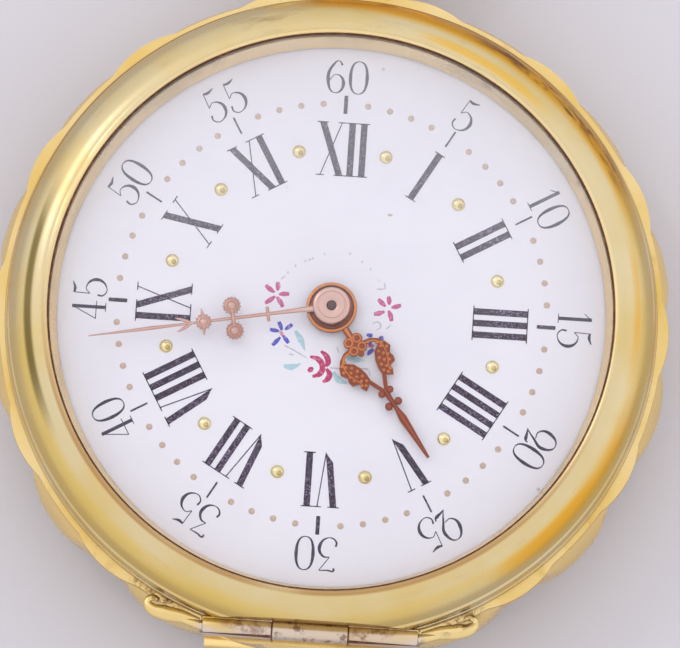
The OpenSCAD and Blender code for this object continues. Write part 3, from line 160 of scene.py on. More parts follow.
class Graph:
    """The node tree of a material or of the world."""

    def __init__(self, owner: bpy.types.Material | bpy.types.World) -> None:
        """Starts the owner's nodes afresh.

        Args:
            owner: the material or world that takes the nodes.
        """
        owner.use_nodes = True
        self.owner = owner
        self.tree = owner.node_tree
        self.tree.nodes.clear()

    def node(
        self,
        kind: str,
        settings: Mapping[str, Any] | None = None,
        inputs: Mapping[int | str, Any] | None = None,
    ) -> bpy.types.Node:
        """Adds one node.

        Args:
            kind: the node's type.
            settings: its properties, set first.
            inputs: numbers, colours, sockets or values for its sockets.

        Returns:
            The node.
        """
        made = self.tree.nodes.new(kind)
        for key, value in (settings or {}).items():
            setattr(made, key, value)
        for key, value in (inputs or {}).items():
            socket = made.inputs[key]
            source = value.socket if isinstance(value, Value) else value
            if isinstance(source, bpy.types.NodeSocket):
                self.tree.links.new(source, socket)
            else:
                socket.default_value = (*source, 1.0) if socket.type == "RGBA" else source
        return made

    def place(self) -> bpy.types.NodeSocket:
        """The piece's Object coordinates."""
        return self.node("ShaderNodeTexCoord").outputs["Object"]

    def axes(self) -> tuple[Value, Value, Value]:
        """The Object coordinates as three values."""
        split = self.node("ShaderNodeSeparateXYZ", inputs={0: self.place()})
        return tuple(Value(self, split.outputs[i]) for i in range(3))

    def radius(self) -> Value:
        """The distance from the watch's axis.

        Returns:
            The distance, in metres.
        """
        flat = self.node("ShaderNodeVectorMath", {"operation": "MULTIPLY"}, {0: self.place(), 1: (1, 1, 0)})
        node = self.node("ShaderNodeVectorMath", {"operation": "LENGTH"}, {0: flat.outputs[0]})
        return Value(self, node.outputs["Value"])

    def stretched(self, scale: Triple, turn: float = 0.0) -> bpy.types.NodeSocket:
        """Object coordinates scaled along the axes, then turned about Z by an angle in degrees."""
        inputs = {"Vector": self.place(), "Scale": scale, "Rotation": (0, 0, math.radians(turn))}
        return self.node("ShaderNodeMapping", inputs=inputs).outputs[0]

    def around(self, stretch: float) -> bpy.types.NodeSocket:
        """Coordinates that run with a ring: radius, bearing and height.

        Args:
            stretch: the length that one radian counts for.

        Returns:
            The coordinates.
        """
        x, y, z = self.axes()
        inputs = {0: self.radius(), 1: x.bearing(y) * stretch, 2: z}
        return self.node("ShaderNodeCombineXYZ", inputs=inputs).outputs[0]

    def noise(
        self, scale: float, detail: float = 2.0, where: bpy.types.NodeSocket | None = None, rough: float = 0.5
    ) -> Value:
        """Noise of about 0 to 1, scale cells to the metre, in Object coordinates unless others are given."""
        inputs = {"Vector": where or self.place(), "Scale": scale, "Detail": detail, "Roughness": rough}
        return Value(self, self.node("ShaderNodeTexNoise", inputs=inputs).outputs[0])

    def spots(self, scale: float) -> Value:
        """Distance to the nearest of scattered points, scale cells to the metre."""
        node = self.node("ShaderNodeTexVoronoi", inputs={"Vector": self.place(), "Scale": scale})
        return Value(self, node.outputs["Distance"])

    def blend(self, factor: Value, first: Any, second: Any) -> bpy.types.NodeSocket:
        """Mixes two colours or colour sockets, 0 for the first and 1 for the second."""
        inputs = {0: factor, 6: first, 7: second}
        return self.node("ShaderNodeMix", {"data_type": "RGBA"}, inputs).outputs[2]

    def mix(self, factor: Value, first: Any, second: Any) -> bpy.types.NodeSocket:
        """Mixes two shaders, 0 for the first and 1 for the second."""
        return self.node("ShaderNodeMixShader", inputs={0: factor, 1: first, 2: second}).outputs[0]

    def relief(self, height: Value, depth: float, strength: float) -> bpy.types.NodeSocket:
        """Turns a height into a bumped normal, where a height of 1 stands for the depth in metres."""
        inputs = {"Strength": strength, "Distance": depth, "Height": height}
        return self.node("ShaderNodeBump", inputs=inputs).outputs[0]

    def surface(self, inputs: Mapping[int | str, Any]) -> bpy.types.NodeSocket:
        """A principled surface with these sockets set."""
        return self.node("ShaderNodeBsdfPrincipled", inputs=inputs).outputs[0]

    def finish(self, shader: bpy.types.NodeSocket) -> Any:
        """Links the shader to the owner's output.

        Args:
            shader: the finished shader.

        Returns:
            The owner.
        """
        kind = "World" if isinstance(self.owner, bpy.types.World) else "Material"
        self.node(f"ShaderNodeOutput{kind}", inputs={"Surface": shader})
        return self.owner

    def coat(self, inputs: Mapping[int | str, Any]) -> bpy.types.Material:
        """Finishes the owner with a principled surface."""
        return self.finish(self.surface(inputs))

    def metal(self, colour: Any, rough: Value, normal: bpy.types.NodeSocket) -> bpy.types.Material:
        """Finishes the owner with a metal surface."""
        return self.coat({"Base Color": colour, "Metallic": 1.0, "Roughness": rough, "Normal": normal})


def new_graph(name: str) -> Graph:
    """The empty graph of a new material."""
    return Graph(bpy.data.materials.new(name))


# Finishes


HINGE_REACH = (15.7 * MM, 15.85 * MM)
HINGE_RISE = (6.72 * MM, 6.78 * MM)
HINGE_HALF_SQUARED = (3.0e-5, 3.6e-5)


@dataclass(frozen=True)
class Streak:
    """A band of colour on part of a ring, such as the bezel's painted reflections, highlight and shade: its
    bearing and spread in degrees, its radii in millimetres.
    """

    bearing: float
    spread: float
    inner: float
    outer: float
    colour: Colour
    strength: float
    speckled: bool = False

    def cover(self, graph: Graph, flecks: Value, drift: Value) -> Value:
        """How much of the band shows.

        Args:
            graph: the material's graph.
            flecks: the fine noise that breaks a speckled band up.
            drift: the slow noise that thins an even one.

        Returns:
            0 for the plain metal, up to the band's strength.
        """
        x, y, _ = graph.axes()
        radius = graph.radius()
        turn = math.radians(self.bearing)
        facing = (x * math.sin(turn) + y * math.cos(turn)) / radius
        near, far = math.cos(math.radians(self.spread * 0.35)), math.cos(math.radians(self.spread))
        soft = (self.outer - self.inner) * 0.35
        inside = radius.ramp(self.inner * MM, (self.inner + soft) * MM)
        outside = 1.0 - radius.ramp((self.outer - soft) * MM, self.outer * MM)
        broken = flecks.ramp(0.44, 0.6) if self.speckled else 0.35 + 0.65 * drift.ramp(0.34, 0.56)
        return facing.ramp(far, near) * inside * outside * broken * self.strength


@dataclass(frozen=True)
class GoldFinish:
    """Worn, hand-polished precious metal."""

    name: str
    colour: Colour
    deep: Colour
    tarnish: Colour
    roughness: float = 0.2
    patches: float = 0.25
    dents: float = 2.0e-5
    hinge_wear: Colour | None = None
    belly: Colour | None = None
    belly_top: float = 6.2
    turned: bool = False
    streaks: tuple[Streak, ...] = ()

    def make(self) -> bpy.types.Material:
        """Builds the material.

        Returns:
            The material.
        """
        graph = new_graph(self.name)
        cloud = graph.noise(190, 3).ramp(0.3, 0.72)
        grain = graph.noise(2600, 3, graph.stretched((1, 1, 0.2)))
        path = graph.around(4 * MM) if self.turned else graph.place()
        flecks = graph.noise(1500, 6, path, 0.7)
        cover = graph.noise(110, 4, rough=0.6)
        drift = graph.noise(420 if self.turned else 230, 2, path)
        stain = (flecks.ramp(0.5, 0.72) * cover.ramp(0.52, 0.7) * self.patches * 3.0).least(0.85)
        colour = graph.blend(cloud, self.colour, self.deep)
        colour = graph.blend(stain, colour, self.tarnish)
        # bands round the ring; on the bezel these are painted reflections, highlight and shade
        for streak in self.streaks:
            colour = graph.blend(streak.cover(graph, flecks, drift), colour, streak.colour)
        # painted reflection of the bright table: lighter, warmer gold below a height
        if self.belly:
            low = 1.0 - graph.axes()[2].ramp((self.belly_top - 0.5) * MM, self.belly_top * MM)
            colour = graph.blend(low * (0.7 + 0.3 * drift), colour, self.belly)
        if self.hinge_wear:
            x, y, z = graph.axes()
            rubbed = (0.0 - y).ramp(*HINGE_REACH) * z.ramp(*HINGE_RISE)
            rubbed = rubbed * (1.0 - (x * x).ramp(*HINGE_HALF_SQUARED))
            colour = graph.blend(rubbed * (0.6 + 0.4 * flecks), colour, self.hinge_wear)
            colour = graph.blend(rubbed * flecks.ramp(0.5, 0.62) * 0.75, colour, self.tarnish)
        if self.turned:
            scratch = graph.noise(5200, 2, graph.around(0.6 * MM)).ramp(0.58, 0.7)
        else:
            scratch = graph.noise(900, 2, graph.stretched((1, 14, 1), 32)).ramp(0.62, 0.7)
        rough = self.roughness + 0.14 * cloud + 0.25 * stain + 0.1 * scratch
        height = graph.noise(420) + grain * 0.12 + scratch * -0.05
        normal = graph.relief(height, self.dents, 0.6)
        return graph.metal(colour, rough, normal)


@dataclass(frozen=True)
class SteelFinish:
    """Plain worked metal with a fine grain, striped where a stripe's width is given."""

    name: str
    colour: Colour
    dark: Colour
    roughness: float
    stripes: float = 0.0

    def make(self) -> bpy.types.Material:
        """Builds the material.

        Returns:
            The material.
        """
        graph = new_graph(self.name)
        grain = graph.noise(4200, 3, graph.stretched((1, 0.06, 1), 20))
        cloud = graph.noise(260).ramp(0.3, 0.75)
        shade = 0.55 * cloud + 0.45 * grain
        rough = self.roughness + 0.16 * grain
        height = grain * 0.3
        if self.stripes:
            x, y, _ = graph.axes()
            saw = ((x * 0.8 + y * 0.6) / self.stripes).fraction()
            curl = graph.noise(5200, 2, graph.stretched((0.15, 1, 1), 53))
            shade = shade * 0.5 + saw * 0.5
            rough = rough + 0.12 * saw
            height = saw * 0.8 + curl * 0.3
        colour = graph.blend(shade.ramp(0.1, 0.9), self.colour, self.dark)
        normal = graph.relief(height, 1.2e-5, 0.7)
        return graph.metal(colour, rough, normal)


@dataclass(frozen=True)
class WheelFinish:
    """Gilt brass wheels on steel arbors: the metal turns to steel above a height, darkened as painted shade
    where the centre arbor's top sits in the hub's hole.
    """

    name: str
    colour: Colour
    deep: Colour
    steel: Colour
    steel_above: float

    def make(self) -> bpy.types.Material:
        """Builds the material.

        Returns:
            The material.
        """
        graph = new_graph(self.name)
        grain = graph.noise(3800, 3)
        cloud = graph.noise(320).ramp(0.3, 0.75)
        brass = graph.blend(0.6 * cloud + 0.4 * grain, self.colour, self.deep)
        part = graph.axes()[2].ramp(self.steel_above * MM, (self.steel_above + 0.02) * MM)
        # painted shade: the dark maroon of the centre arbor's top in the hub's hole
        colour = graph.blend(part, brass, self.steel)
        normal = graph.relief(grain, 6.0e-6, 0.6)
        rough = 0.24 + 0.18 * grain
        return graph.metal(colour, rough, normal)


@dataclass(frozen=True)
class EnamelFinish:
    """Fired white enamel under its own gloss, with the specks of age."""

    name: str
    colour: Colour
    shade: Colour
    speck: Colour

    def make(self) -> bpy.types.Material:
        """Builds the material.

        Returns:
            The material.
        """
        graph = new_graph(self.name)
        cloud = graph.noise(140, 3).ramp(0.35, 0.7)
        pits = 1.0 - graph.spots(520).ramp(0.03, 0.075)
        mark = pits * graph.noise(330, 1).ramp(0.6, 0.68) * 0.55
        height = graph.noise(700) * 0.6 + mark * -0.4
        sockets = {
            "Base Color": graph.blend(mark, graph.blend(cloud, self.colour, self.shade), self.speck),
            "Roughness": 0.16 + 0.1 * cloud + 0.2 * mark,
            "Coat Weight": 0.35,
            "Coat Roughness": 0.06,
            "Normal": graph.relief(height, 5.0e-6, 0.5),
        }
        return graph.coat(sockets)


@dataclass(frozen=True)
class PaintFinish:
    """Painted or printed enamel colour, a little uneven."""

    name: str
    colour: Colour
    thin: Colour
    grain: float = 5000.0
    wear: float = 0.9
    roughness: float = 0.3

    def make(self) -> bpy.types.Material:
        """Builds the material.

        Returns:
            The material.
        """
        graph = new_graph(self.name)
        speckle = graph.noise(self.grain).ramp(0.5, 0.68)
        cloud = graph.noise(420).ramp(0.35, 0.7)
        fade = speckle * self.wear * (0.4 + 0.6 * cloud)
        sockets = {
            "Base Color": graph.blend(fade, self.colour, self.thin),
            "Roughness": self.roughness + 0.2 * speckle,
            "Specular IOR Level": 0.2,
            "Normal": graph.relief(speckle, 4.0e-6, 0.5),
        }
        return graph.coat(sockets)


@dataclass(frozen=True)
class CloudedFinish:
    """A clouded colour with no relief, for stone and for the table top."""

    name: str
    colour: Colour
    deep: Colour
    scale: float
    roughness: float
    uneven: float
    coat: float = 0.0

    def make(self) -> bpy.types.Material:
        """Builds the material.

        Returns:
            The material.
        """
        graph = new_graph(self.name)
        cloud = graph.noise(self.scale).ramp(0.3, 0.7)
        colour = graph.blend(cloud, self.colour, self.deep)
        rough = self.roughness + self.uneven * cloud
        return graph.coat({"Base Color": colour, "Roughness": rough, "Coat Weight": self.coat})


@dataclass(frozen=True)
class CrystalFinish:
    """Clear watch glass with a trace of smears, under a pale veil towards twelve that is painted reflection.
    """

    name: str
    tint: Colour = (0.985, 0.985, 0.99)
    veil: Colour = (0.93, 0.93, 0.97)
    ior: float = 1.45
    haze: float = 0.11

    def make(self) -> bpy.types.Material:
        """Builds the material.

        Returns:
            The material.
        """
        graph = new_graph(self.name)
        smear = graph.noise(130, 4, graph.stretched((1, 3, 1), 25)).ramp(0.5, 0.8)
        edge = Value(graph, graph.node("ShaderNodeFresnel", inputs={"IOR": self.ior}).outputs[0])
        clear = graph.node("ShaderNodeBsdfTransparent", inputs={"Color": self.tint}).outputs[0]
        shine = {"Base Color": (1.0, 1.0, 1.0), "Metallic": 1.0, "Roughness": 0.02 + 0.06 * smear}
        # painted reflection: a pale veil that thickens towards twelve, uneven with the smears
        haze = (0.004 + self.haze * graph.axes()[1].ramp(-4 * MM, 9 * MM)) * (0.75 + 0.5 * smear)
        glared = graph.mix(haze, clear, graph.surface({"Base Color": self.veil, "Roughness": 0.9}))
        factor = (edge * 0.4 + smear * 0.005).least(0.6)
        return graph.finish(graph.mix(factor, glared, graph.surface(shine)))


Metal = GoldFinish | SteelFinish | WheelFinish
Finish = Metal | EnamelFinish | PaintFinish | CloudedFinish | CrystalFinish


@functools.cache
def material_of(finish: Finish) -> bpy.types.Material:
    """The finish's material, made when first asked for."""
    return finish.make()


RUBBED_SILVER: Colour = (0.56, 0.48, 0.44)
SOOT: Colour = (0.10, 0.04, 0.015)
# The amber and the cream below serve only the bezel's painted reflections and painted highlight.
AMBER_REFLECTION: Colour = (0.66, 0.33, 0.03)
YELLOW: Colour = (0.63, 0.44, 0.12)
CREAM_HIGHLIGHT: Colour = (0.95, 0.71, 0.36)
CASE_GOLD = GoldFinish(
    "case_gold",
    (0.70, 0.53, 0.25),
    (0.66, 0.44, 0.12),
    (0.18, 0.09, 0.04),
    roughness=0.22,
    patches=0.08,
    hinge_wear=RUBBED_SILVER,
    # painted reflection of the bright table on the band's lower part
    belly=(0.88, 0.65, 0.28),
    streaks=(
        Streak(208, 6, 16.0, 17.5, SOOT, 0.95, speckled=True),
        Streak(153, 5, 16.6, 17.7, SOOT, 0.9, speckled=True),
    ),
)
BEZEL_GOLD = GoldFinish(
    "bezel_gold",
    (0.605, 0.50, 0.30),
    (0.59, 0.44, 0.185),
    (0.19, 0.10, 0.05),
    roughness=0.22,
    patches=0.14,
    turned=True,
    streaks=(
        # painted highlight: cream along the lip and inner wall all round
        Streak(0, 180, 13.8, 14.72, CREAM_HIGHLIGHT, 0.95),
        Streak(180, 180, 13.8, 14.72, CREAM_HIGHLIGHT, 0.95),
        # painted shade: a brown band inside the lip towards the lower left
        Streak(195, 110, 14.42, 14.84, (0.40, 0.23, 0.09), 0.9),
        # painted reflections: yellow and amber bands across the face
        Streak(40, 50, 15.5, 16.75, YELLOW, 0.8),
        Streak(120, 60, 15.3, 16.75, YELLOW, 0.9),
        Streak(228, 55, 15.3, 16.75, YELLOW, 0.8),
        Streak(180, 45, 15.6, 16.75, YELLOW, 0.45),
        Streak(318, 60, 16.2, 16.8, YELLOW, 0.6),
        Streak(34, 42, 15.55, 16.75, AMBER_REFLECTION, 1.0),
        Streak(2, 14, 15.8, 16.7, AMBER_REFLECTION, 0.8),
        Streak(28, 17, 14.75, 15.45, (0.66, 0.40, 0.06), 0.8),
        Streak(123, 26, 15.5, 16.4, AMBER_REFLECTION, 0.9),
        Streak(88, 16, 15.4, 15.85, AMBER_REFLECTION, 0.6),
        # painted reflections of dark things: olive on the left, brown specks at upper right
        Streak(268, 28, 15.2, 15.8, (0.15, 0.11, 0.035), 0.95),
        Streak(43, 24, 15.8, 16.6, (0.17, 0.07, 0.03), 1.0, speckled=True),
        # painted shade: a dark line along the outer edge all round
        Streak(0, 180, 16.44, 16.64, (0.25, 0.13, 0.05), 0.8),
    ),
)
WORN_HINGE = GoldFinish(
    "worn_hinge",
    (0.62, 0.53, 0.48),
    (0.58, 0.42, 0.27),
    (0.15, 0.07, 0.04),
    roughness=0.3,
    patches=0.9,
    streaks=(
        Streak(158, 11, 15.5, 17.6, YELLOW, 1.0),
        Streak(202, 11, 15.5, 17.6, YELLOW, 1.0),
        Streak(180, 22, 16.1, 17.1, (0.20, 0.10, 0.07), 0.8, speckled=True),
    ),
)
ROSE_GOLD = GoldFinish("rose_gold", (0.64, 0.42, 0.37), (0.54, 0.31, 0.25), (0.22, 0.09, 0.06), 0.27, 0.12)
# painted shade: darker rose gold for the discs that show between the beads
ROSE_PAINTED_SHADE = GoldFinish("rose_painted_shade", (0.62, 0.38, 0.31), (0.44, 0.22, 0.16), (0.20, 0.08, 0.05), 0.3, 0.2)
# painted highlight: the brighter copy of the hour hand's copper, for its raised relief
COPPER_GOLD = GoldFinish("copper_gold", (0.64, 0.23, 0.06), (0.42, 0.10, 0.028), (0.10, 0.025, 0.012), 0.27)
# painted shade: the darker copy, for the hand's flat outline and the flower's hollows
COPPER_PAINTED_SHADE = GoldFinish(
    "copper_painted_shade", (0.27, 0.058, 0.022), (0.16, 0.03, 0.014), (0.05, 0.014, 0.01), 0.3, 0.4
)
COPPER_DARK = GoldFinish(
    "copper_dark", (0.33, 0.075, 0.035), (0.21, 0.042, 0.022), (0.06, 0.016, 0.01), 0.28, 0.4
)
STUD_GOLD = GoldFinish("stud_gold", (0.84, 0.75, 0.46), (0.75, 0.63, 0.31), (0.36, 0.26, 0.09), 0.16, 0.1)
# painted shade: the darker copy of the stud gold
STUD_SHADE = GoldFinish("stud_painted_shade", (0.60, 0.48, 0.19), (0.48, 0.36, 0.11), (0.24, 0.16, 0.05), 0.2, 0.2)
NICKEL = SteelFinish("striped_nickel", (0.72, 0.70, 0.65), (0.58, 0.56, 0.51), 0.24, 1.15 * MM)
PLATE_GILT = SteelFinish("frosted_plate", (0.78, 0.64, 0.36), (0.66, 0.52, 0.27), 0.4)
STEEL = SteelFinish("polished_steel", (0.62, 0.62, 0.63), (0.46, 0.46, 0.48), 0.2)
DARK_STEEL = SteelFinish("dark_steel", (0.15, 0.095, 0.10), (0.09, 0.05, 0.055), 0.25)
BLUED = SteelFinish("blued_steel", (0.05, 0.09, 0.34), (0.03, 0.05, 0.2), 0.18)
COPPER = SteelFinish("dial_copper", (0.76, 0.43, 0.28), (0.6, 0.31, 0.2), 0.34)
# its steel colour is a dark maroon, painted shade where the centre arbor's top sits in the hub's hole
BRASS = WheelFinish("gilt_wheels", (0.83, 0.63, 0.27), (0.7, 0.5, 0.2), (0.09, 0.045, 0.04), 8.0)
RUBY = CloudedFinish("ruby", (0.55, 0.02, 0.10), (0.32, 0.01, 0.06), 2400, 0.05, 0.06, 0.6)
ENAMEL = EnamelFinish("dial_enamel", (0.825, 0.808, 0.875), (0.795, 0.777, 0.85), (0.36, 0.25, 0.18))
CRYSTAL = CrystalFinish("crystal")
INK = PaintFinish("dial_ink", (0.022, 0.007, 0.030), (0.34, 0.27, 0.43), 13000, 1.0)
FINE_INK = PaintFinish("dial_fine_ink", (0.035, 0.028, 0.06), (0.22, 0.19, 0.30), 9000, 0.6)
# painted shade: the dark colour of the ring under the bezel's lip and of the bars in the hinge's gaps
SHADE_LINE = PaintFinish("painted_shade_line", (0.09, 0.035, 0.018), (0.22, 0.11, 0.05), 2600, 0.8, 0.55)
TINT_DOT = PaintFinish("dot_tint", (0.56, 0.42, 0.33), (0.72, 0.60, 0.50), 7000, 0.6)
PINK = PaintFinish("petal_pink", (0.55, 0.09, 0.26), (0.74, 0.40, 0.56))
VIOLET = PaintFinish("petal_violet", (0.08, 0.08, 0.50), (0.34, 0.32, 0.72))
ROSE = PaintFinish("petal_rose", (0.50, 0.025, 0.13), (0.72, 0.24, 0.38), wear=0.8)
LEAF = PaintFinish("leaf_green", (0.40, 0.62, 0.68), (0.62, 0.74, 0.79))
FAINT = PaintFinish("faint_grey", (0.50, 0.48, 0.57), (0.70, 0.68, 0.77))
TABLE = CloudedFinish("table_top", (0.60, 0.58, 0.63), (0.565, 0.545, 0.59), 14, 0.75, 0.1)


# Meshes


class Shape:
    """A mesh in millimetres that grows part by part until it becomes a piece."""

    def __init__(self) -> None:
        """Starts empty."""
        self.mesh = bmesh.new()

    def ring(self, outline: Sequence[Point], steps: int, lift: Triple = (0.0, 0.0, 0.0)) -> None:
        """Spins a closed outline once about the watch's axis, then moves the whole mesh.

        Args:
            outline: the outline's points, each a radius and a height.
            steps: how many steps the turn takes.
            lift: how far the mesh is then moved.
        """
        verts = [self.mesh.verts.new((r, 0.0, z)) for r, z in outline]
        edges = [self.mesh.edges.new(pair) for pair in zip(verts, verts[1:] + verts[:1])]
        bmesh.ops.spin(
            self.mesh,
            geom=verts + edges,
            axis=(0, 0, 1),
            cent=(0, 0, 0),
            angle=math.tau,
            steps=steps,
            use_merge=True,
        )
        bmesh.ops.remove_doubles(self.mesh, verts=self.mesh.verts, dist=1e-5)
        bmesh.ops.recalc_face_normals(self.mesh, faces=self.mesh.faces)
        bmesh.ops.translate(self.mesh, vec=lift, verts=self.mesh.verts)

    def box(self, size: Triple, place: Matrix) -> list[bmesh.types.BMVert]:
        """Adds a box with its middle at the place, and returns its corners."""
        matrix = place @ Matrix.Diagonal((*size, 1.0))
        return bmesh.ops.create_cube(self.mesh, size=1.0, matrix=matrix)["verts"]

    def bar(self, start: Vector, end: Vector, radii: Point, segments: int) -> None:
        """Adds a round bar with eased ends.

        Args:
            start: the middle of its first end.
            end: the middle of its other end.
            radii: its radius at each end.
            segments: how many sides it has.
        """
        run = end - start
        made = bmesh.ops.create_cone(
            self.mesh,
            cap_ends=True,
            segments=segments,
            radius1=radii[0],
            radius2=radii[1],
            depth=run.length,
            matrix=Matrix.Translation((start + end) / 2) @ run.to_track_quat("Z", "Y").to_matrix().to_4x4(),
        )
        rims = [e for e in {e for v in made["verts"] for e in v.link_edges} if e.calc_face_angle(0.0) > 1.0]
        ease = {"offset": min(radii) * 0.22, "segments": 3, "profile": 0.5, "affect": "EDGES", "material": -1}
        bmesh.ops.bevel(self.mesh, geom=rims, **ease)

    def ball(self, radii: Triple, place: Matrix, detail: int) -> list[bmesh.types.BMVert]:
        """Adds a whole ellipsoid.

        Args:
            radii: its half sizes.
            place: where its middle goes.
            detail: how many segments it has round.

        Returns:
            Its vertices.
        """
        made = bmesh.ops.create_uvsphere(
            self.mesh,
            u_segments=detail,
            v_segments=max(6, detail // 2),
            radius=1.0,
            matrix=place @ Matrix.Diagonal((*radii, 1.0)),
        )
        return made["verts"]

    def dome(self, radii: Triple, place: Matrix, detail: int) -> None:
        """Adds the upper half of an ellipsoid.

        Args:
            radii: its half sizes.
            place: where the middle of its base goes.
            detail: how many segments it has round.
        """
        verts = self.ball(radii, place, detail)
        edges = {e for v in verts for e in v.link_edges}
        faces = {f for v in verts for f in v.link_faces}
        cut = {"plane_co": place.translation, "plane_no": place.to_3x3() @ Vector((0, 0, 1)), "dist": 1e-6}
        bmesh.ops.bisect_plane(self.mesh, geom=[*verts, *edges, *faces], clear_inner=True, **cut)

    def strokes(
        self, strokes: Iterable[Stroke], place: Matrix, thick: float, size: float = 1.0, rounds: int = 1
    ) -> None:
        """Adds pen strokes of changing width, flattened onto the dial.

        Args:
            strokes: the points of each stroke with its half width, in units of size.
            place: where the strokes' origin goes.
            thick: half the strokes' thickness.
            size: the height of one unit.
            rounds: how finely each stroke is rounded.
        """
        curve = bpy.data.curves.new("pen", "CURVE")
        curve.dimensions = "3D"
        curve.bevel_depth = 1.0
        curve.bevel_resolution = rounds
        curve.resolution_u = 8
        curve.use_fill_caps = True
        for points in strokes:
            loop = points[0][:2] == points[-1][:2]
            used = points[:-1] if loop else points
            spline = curve.splines.new("BEZIER")
            spline.use_cyclic_u = loop
            spline.bezier_points.add(len(used) - 1)
            for knot, (x, y, half) in zip(spline.bezier_points, used):
                knot.co = (x, y, 0.0)
                knot.radius = half
                knot.handle_left_type = knot.handle_right_type = "AUTO"
        pen = bpy.data.objects.new("pen", curve)
        bpy.context.scene.collection.objects.link(pen)
        bpy.context.view_layer.update()
        mesh = bpy.data.meshes.new_from_object(pen.evaluated_get(bpy.context.evaluated_depsgraph_get()))
        bpy.data.objects.remove(pen)
        bpy.data.curves.remove(curve)
        flat = max((abs(v.co.z) for v in mesh.vertices), default=1.0)
        mesh.transform(place @ Matrix.Diagonal((size, size, thick / flat, 1.0)))
        self.mesh.from_mesh(mesh)
        bpy.data.meshes.remove(mesh)

    def _smooth(self, sharp: float) -> None:
        """Smooths all faces, and marks edges sharper than the angle.

        Args:
            sharp: the angle from which an edge stays sharp, in degrees.
        """
        limit = math.radians(sharp)
        for face in self.mesh.faces:
            face.smooth = True
        for edge in self.mesh.edges:
            edge.smooth = len(edge.link_faces) != 2 or edge.calc_face_angle(0.0) < limit

    def piece(
        self,
        name: str,
        finish: Finish,
        body: Body | str,
        slot: Slot | None = None,
        sharp: float | None = None,
    ) -> bpy.types.Object:
        """Turns the mesh into a piece that rides on a body, and frees it.

        Args:
            name: the piece's name.
            finish: its finish.
            body: the body that it rides on.
            slot: the record's slot for its finish; not used.
            sharp: the angle from which an edge stays sharp, or None for flat faces.

        Returns:
            The piece.
        """
        if sharp is not None:
            self._smooth(sharp)
        bmesh.ops.scale(self.mesh, vec=(MM, MM, MM), verts=self.mesh.verts)
        mesh = bpy.data.meshes.new(name)
        self.mesh.to_mesh(mesh)
        self.mesh.free()
        mesh.materials.append(material_of(finish))
        piece = bpy.data.objects.new(name, mesh)
        bpy.context.scene.collection.objects.link(piece)
        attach(piece, body.value if isinstance(body, Body) else body)
        LOG.info("piece %s: %d faces", name, len(mesh.polygons))
        return piece


def fan(start: float, end: float, count: int) -> list[float]:
    """Evenly spaced angles in radians, from a start to an end in degrees."""
    return [math.radians(start + (end - start) * i / (count - 1)) for i in range(count)]


def arc(middle: Point, radii: Point, angles: Iterable[float]) -> list[Point]:
    """The points of an oval arc about a middle, at angles in radians."""
    return [(middle[0] + radii[0] * math.cos(a), middle[1] + radii[1] * math.sin(a)) for a in angles]


def at(x: float, y: float, z: float = 0.0) -> Matrix:
    """The matrix that moves something to a place."""
    return Matrix.Translation((x, y, z))


def turned(angle: float, radius: float, height: float = 0.0) -> Matrix:
    """The place at a clockwise angle from twelve, in degrees, with its top outwards."""
    return Matrix.Rotation(-math.radians(angle), 4, "Z") @ at(0.0, radius, height)


# Dial


HAIR = 0.014
FULL = 0.053
DIGITS: dict[str, tuple[Stroke, ...]] = {
    "0": (((0.30, 1.0, HAIR), (0.05, 0.5, FULL), (0.30, 0.0, HAIR), (0.55, 0.5, FULL), (0.30, 1.0, HAIR)),),
    "1": (
        ((0.28, 0.0, FULL), (0.28, 0.5, FULL), (0.28, 1.0, FULL)),
        ((0.10, 0.78, HAIR), (0.18, 0.86, HAIR), (0.27, 0.99, HAIR)),
        ((0.14, 0.0, HAIR), (0.28, 0.0, HAIR), (0.42, 0.0, HAIR)),
    ),
    "2": (
        (
            (0.42, 0.38, HAIR), (0.20, 0.35, 0.02), (0.06, 0.66, FULL), (0.30, 1.0, HAIR),
            (0.56, 0.70, 0.05), (0.44, 0.32, 0.03), (0.30, 0.02, HAIR),
        ),
        ((0.28, 0.02, HAIR), (0.42, 0.08, 0.035), (0.56, 0.13, FULL), (0.62, 0.17, 0.03), (0.64, 0.25, HAIR)),
    ),
    "3": (
        ((0.09, 0.90, 0.03), (0.09, 0.98, 0.03), (0.26, 0.975, 0.024), (0.52, 0.99, HAIR)),
        ((0.52, 0.99, HAIR), (0.38, 0.79, HAIR), (0.23, 0.58, HAIR)),
        (
            (0.23, 0.58, HAIR), (0.42, 0.56, 0.03), (0.54, 0.28, FULL),
            (0.28, 0.0, HAIR), (0.05, 0.12, 0.03), (0.06, 0.26, 0.03),
        ),
    ),
    "4": (
        ((0.38, 0.0, FULL), (0.38, 0.5, FULL), (0.38, 1.0, FULL)),
        ((0.38, 0.99, HAIR), (0.20, 0.62, HAIR), (0.03, 0.28, HAIR)),
        ((0.02, 0.28, HAIR), (0.28, 0.28, HAIR), (0.56, 0.28, HAIR)),
        ((0.25, 0.0, HAIR), (0.38, 0.0, HAIR), (0.52, 0.0, HAIR)),
    ),
    "5": (
        ((0.13, 0.99, HAIR), (0.12, 0.75, HAIR), (0.11, 0.50, HAIR)),
        ((0.13, 0.97, 0.03), (0.26, 0.95, 0.045), (0.46, 1.02, HAIR)),
        (
            (0.11, 0.50, HAIR), (0.28, 0.62, HAIR), (0.54, 0.33, FULL),
            (0.28, 0.0, HAIR), (0.07, 0.10, 0.022), (0.07, 0.27, 0.03),
        ),
    ),
    "6": (
        (
            (0.46, 0.86, 0.035), (0.36, 0.99, HAIR), (0.20, 0.88, 0.035), (0.05, 0.42, FULL),
            (0.28, 0.0, HAIR), (0.52, 0.30, FULL), (0.30, 0.57, HAIR), (0.08, 0.36, HAIR),
        ),
    ),
}
DIGIT_WIDTH = 0.60
NARROW_DIGITS = {"1": 0.50}
ROMAN: tuple[str, ...] = ("XII", "I", "II", "III", "IIII", "V", "VI", "VII", "VIII", "IX", "X", "XI")
HOUR_STEP = 30.0
MINUTE_STEP = 6.0


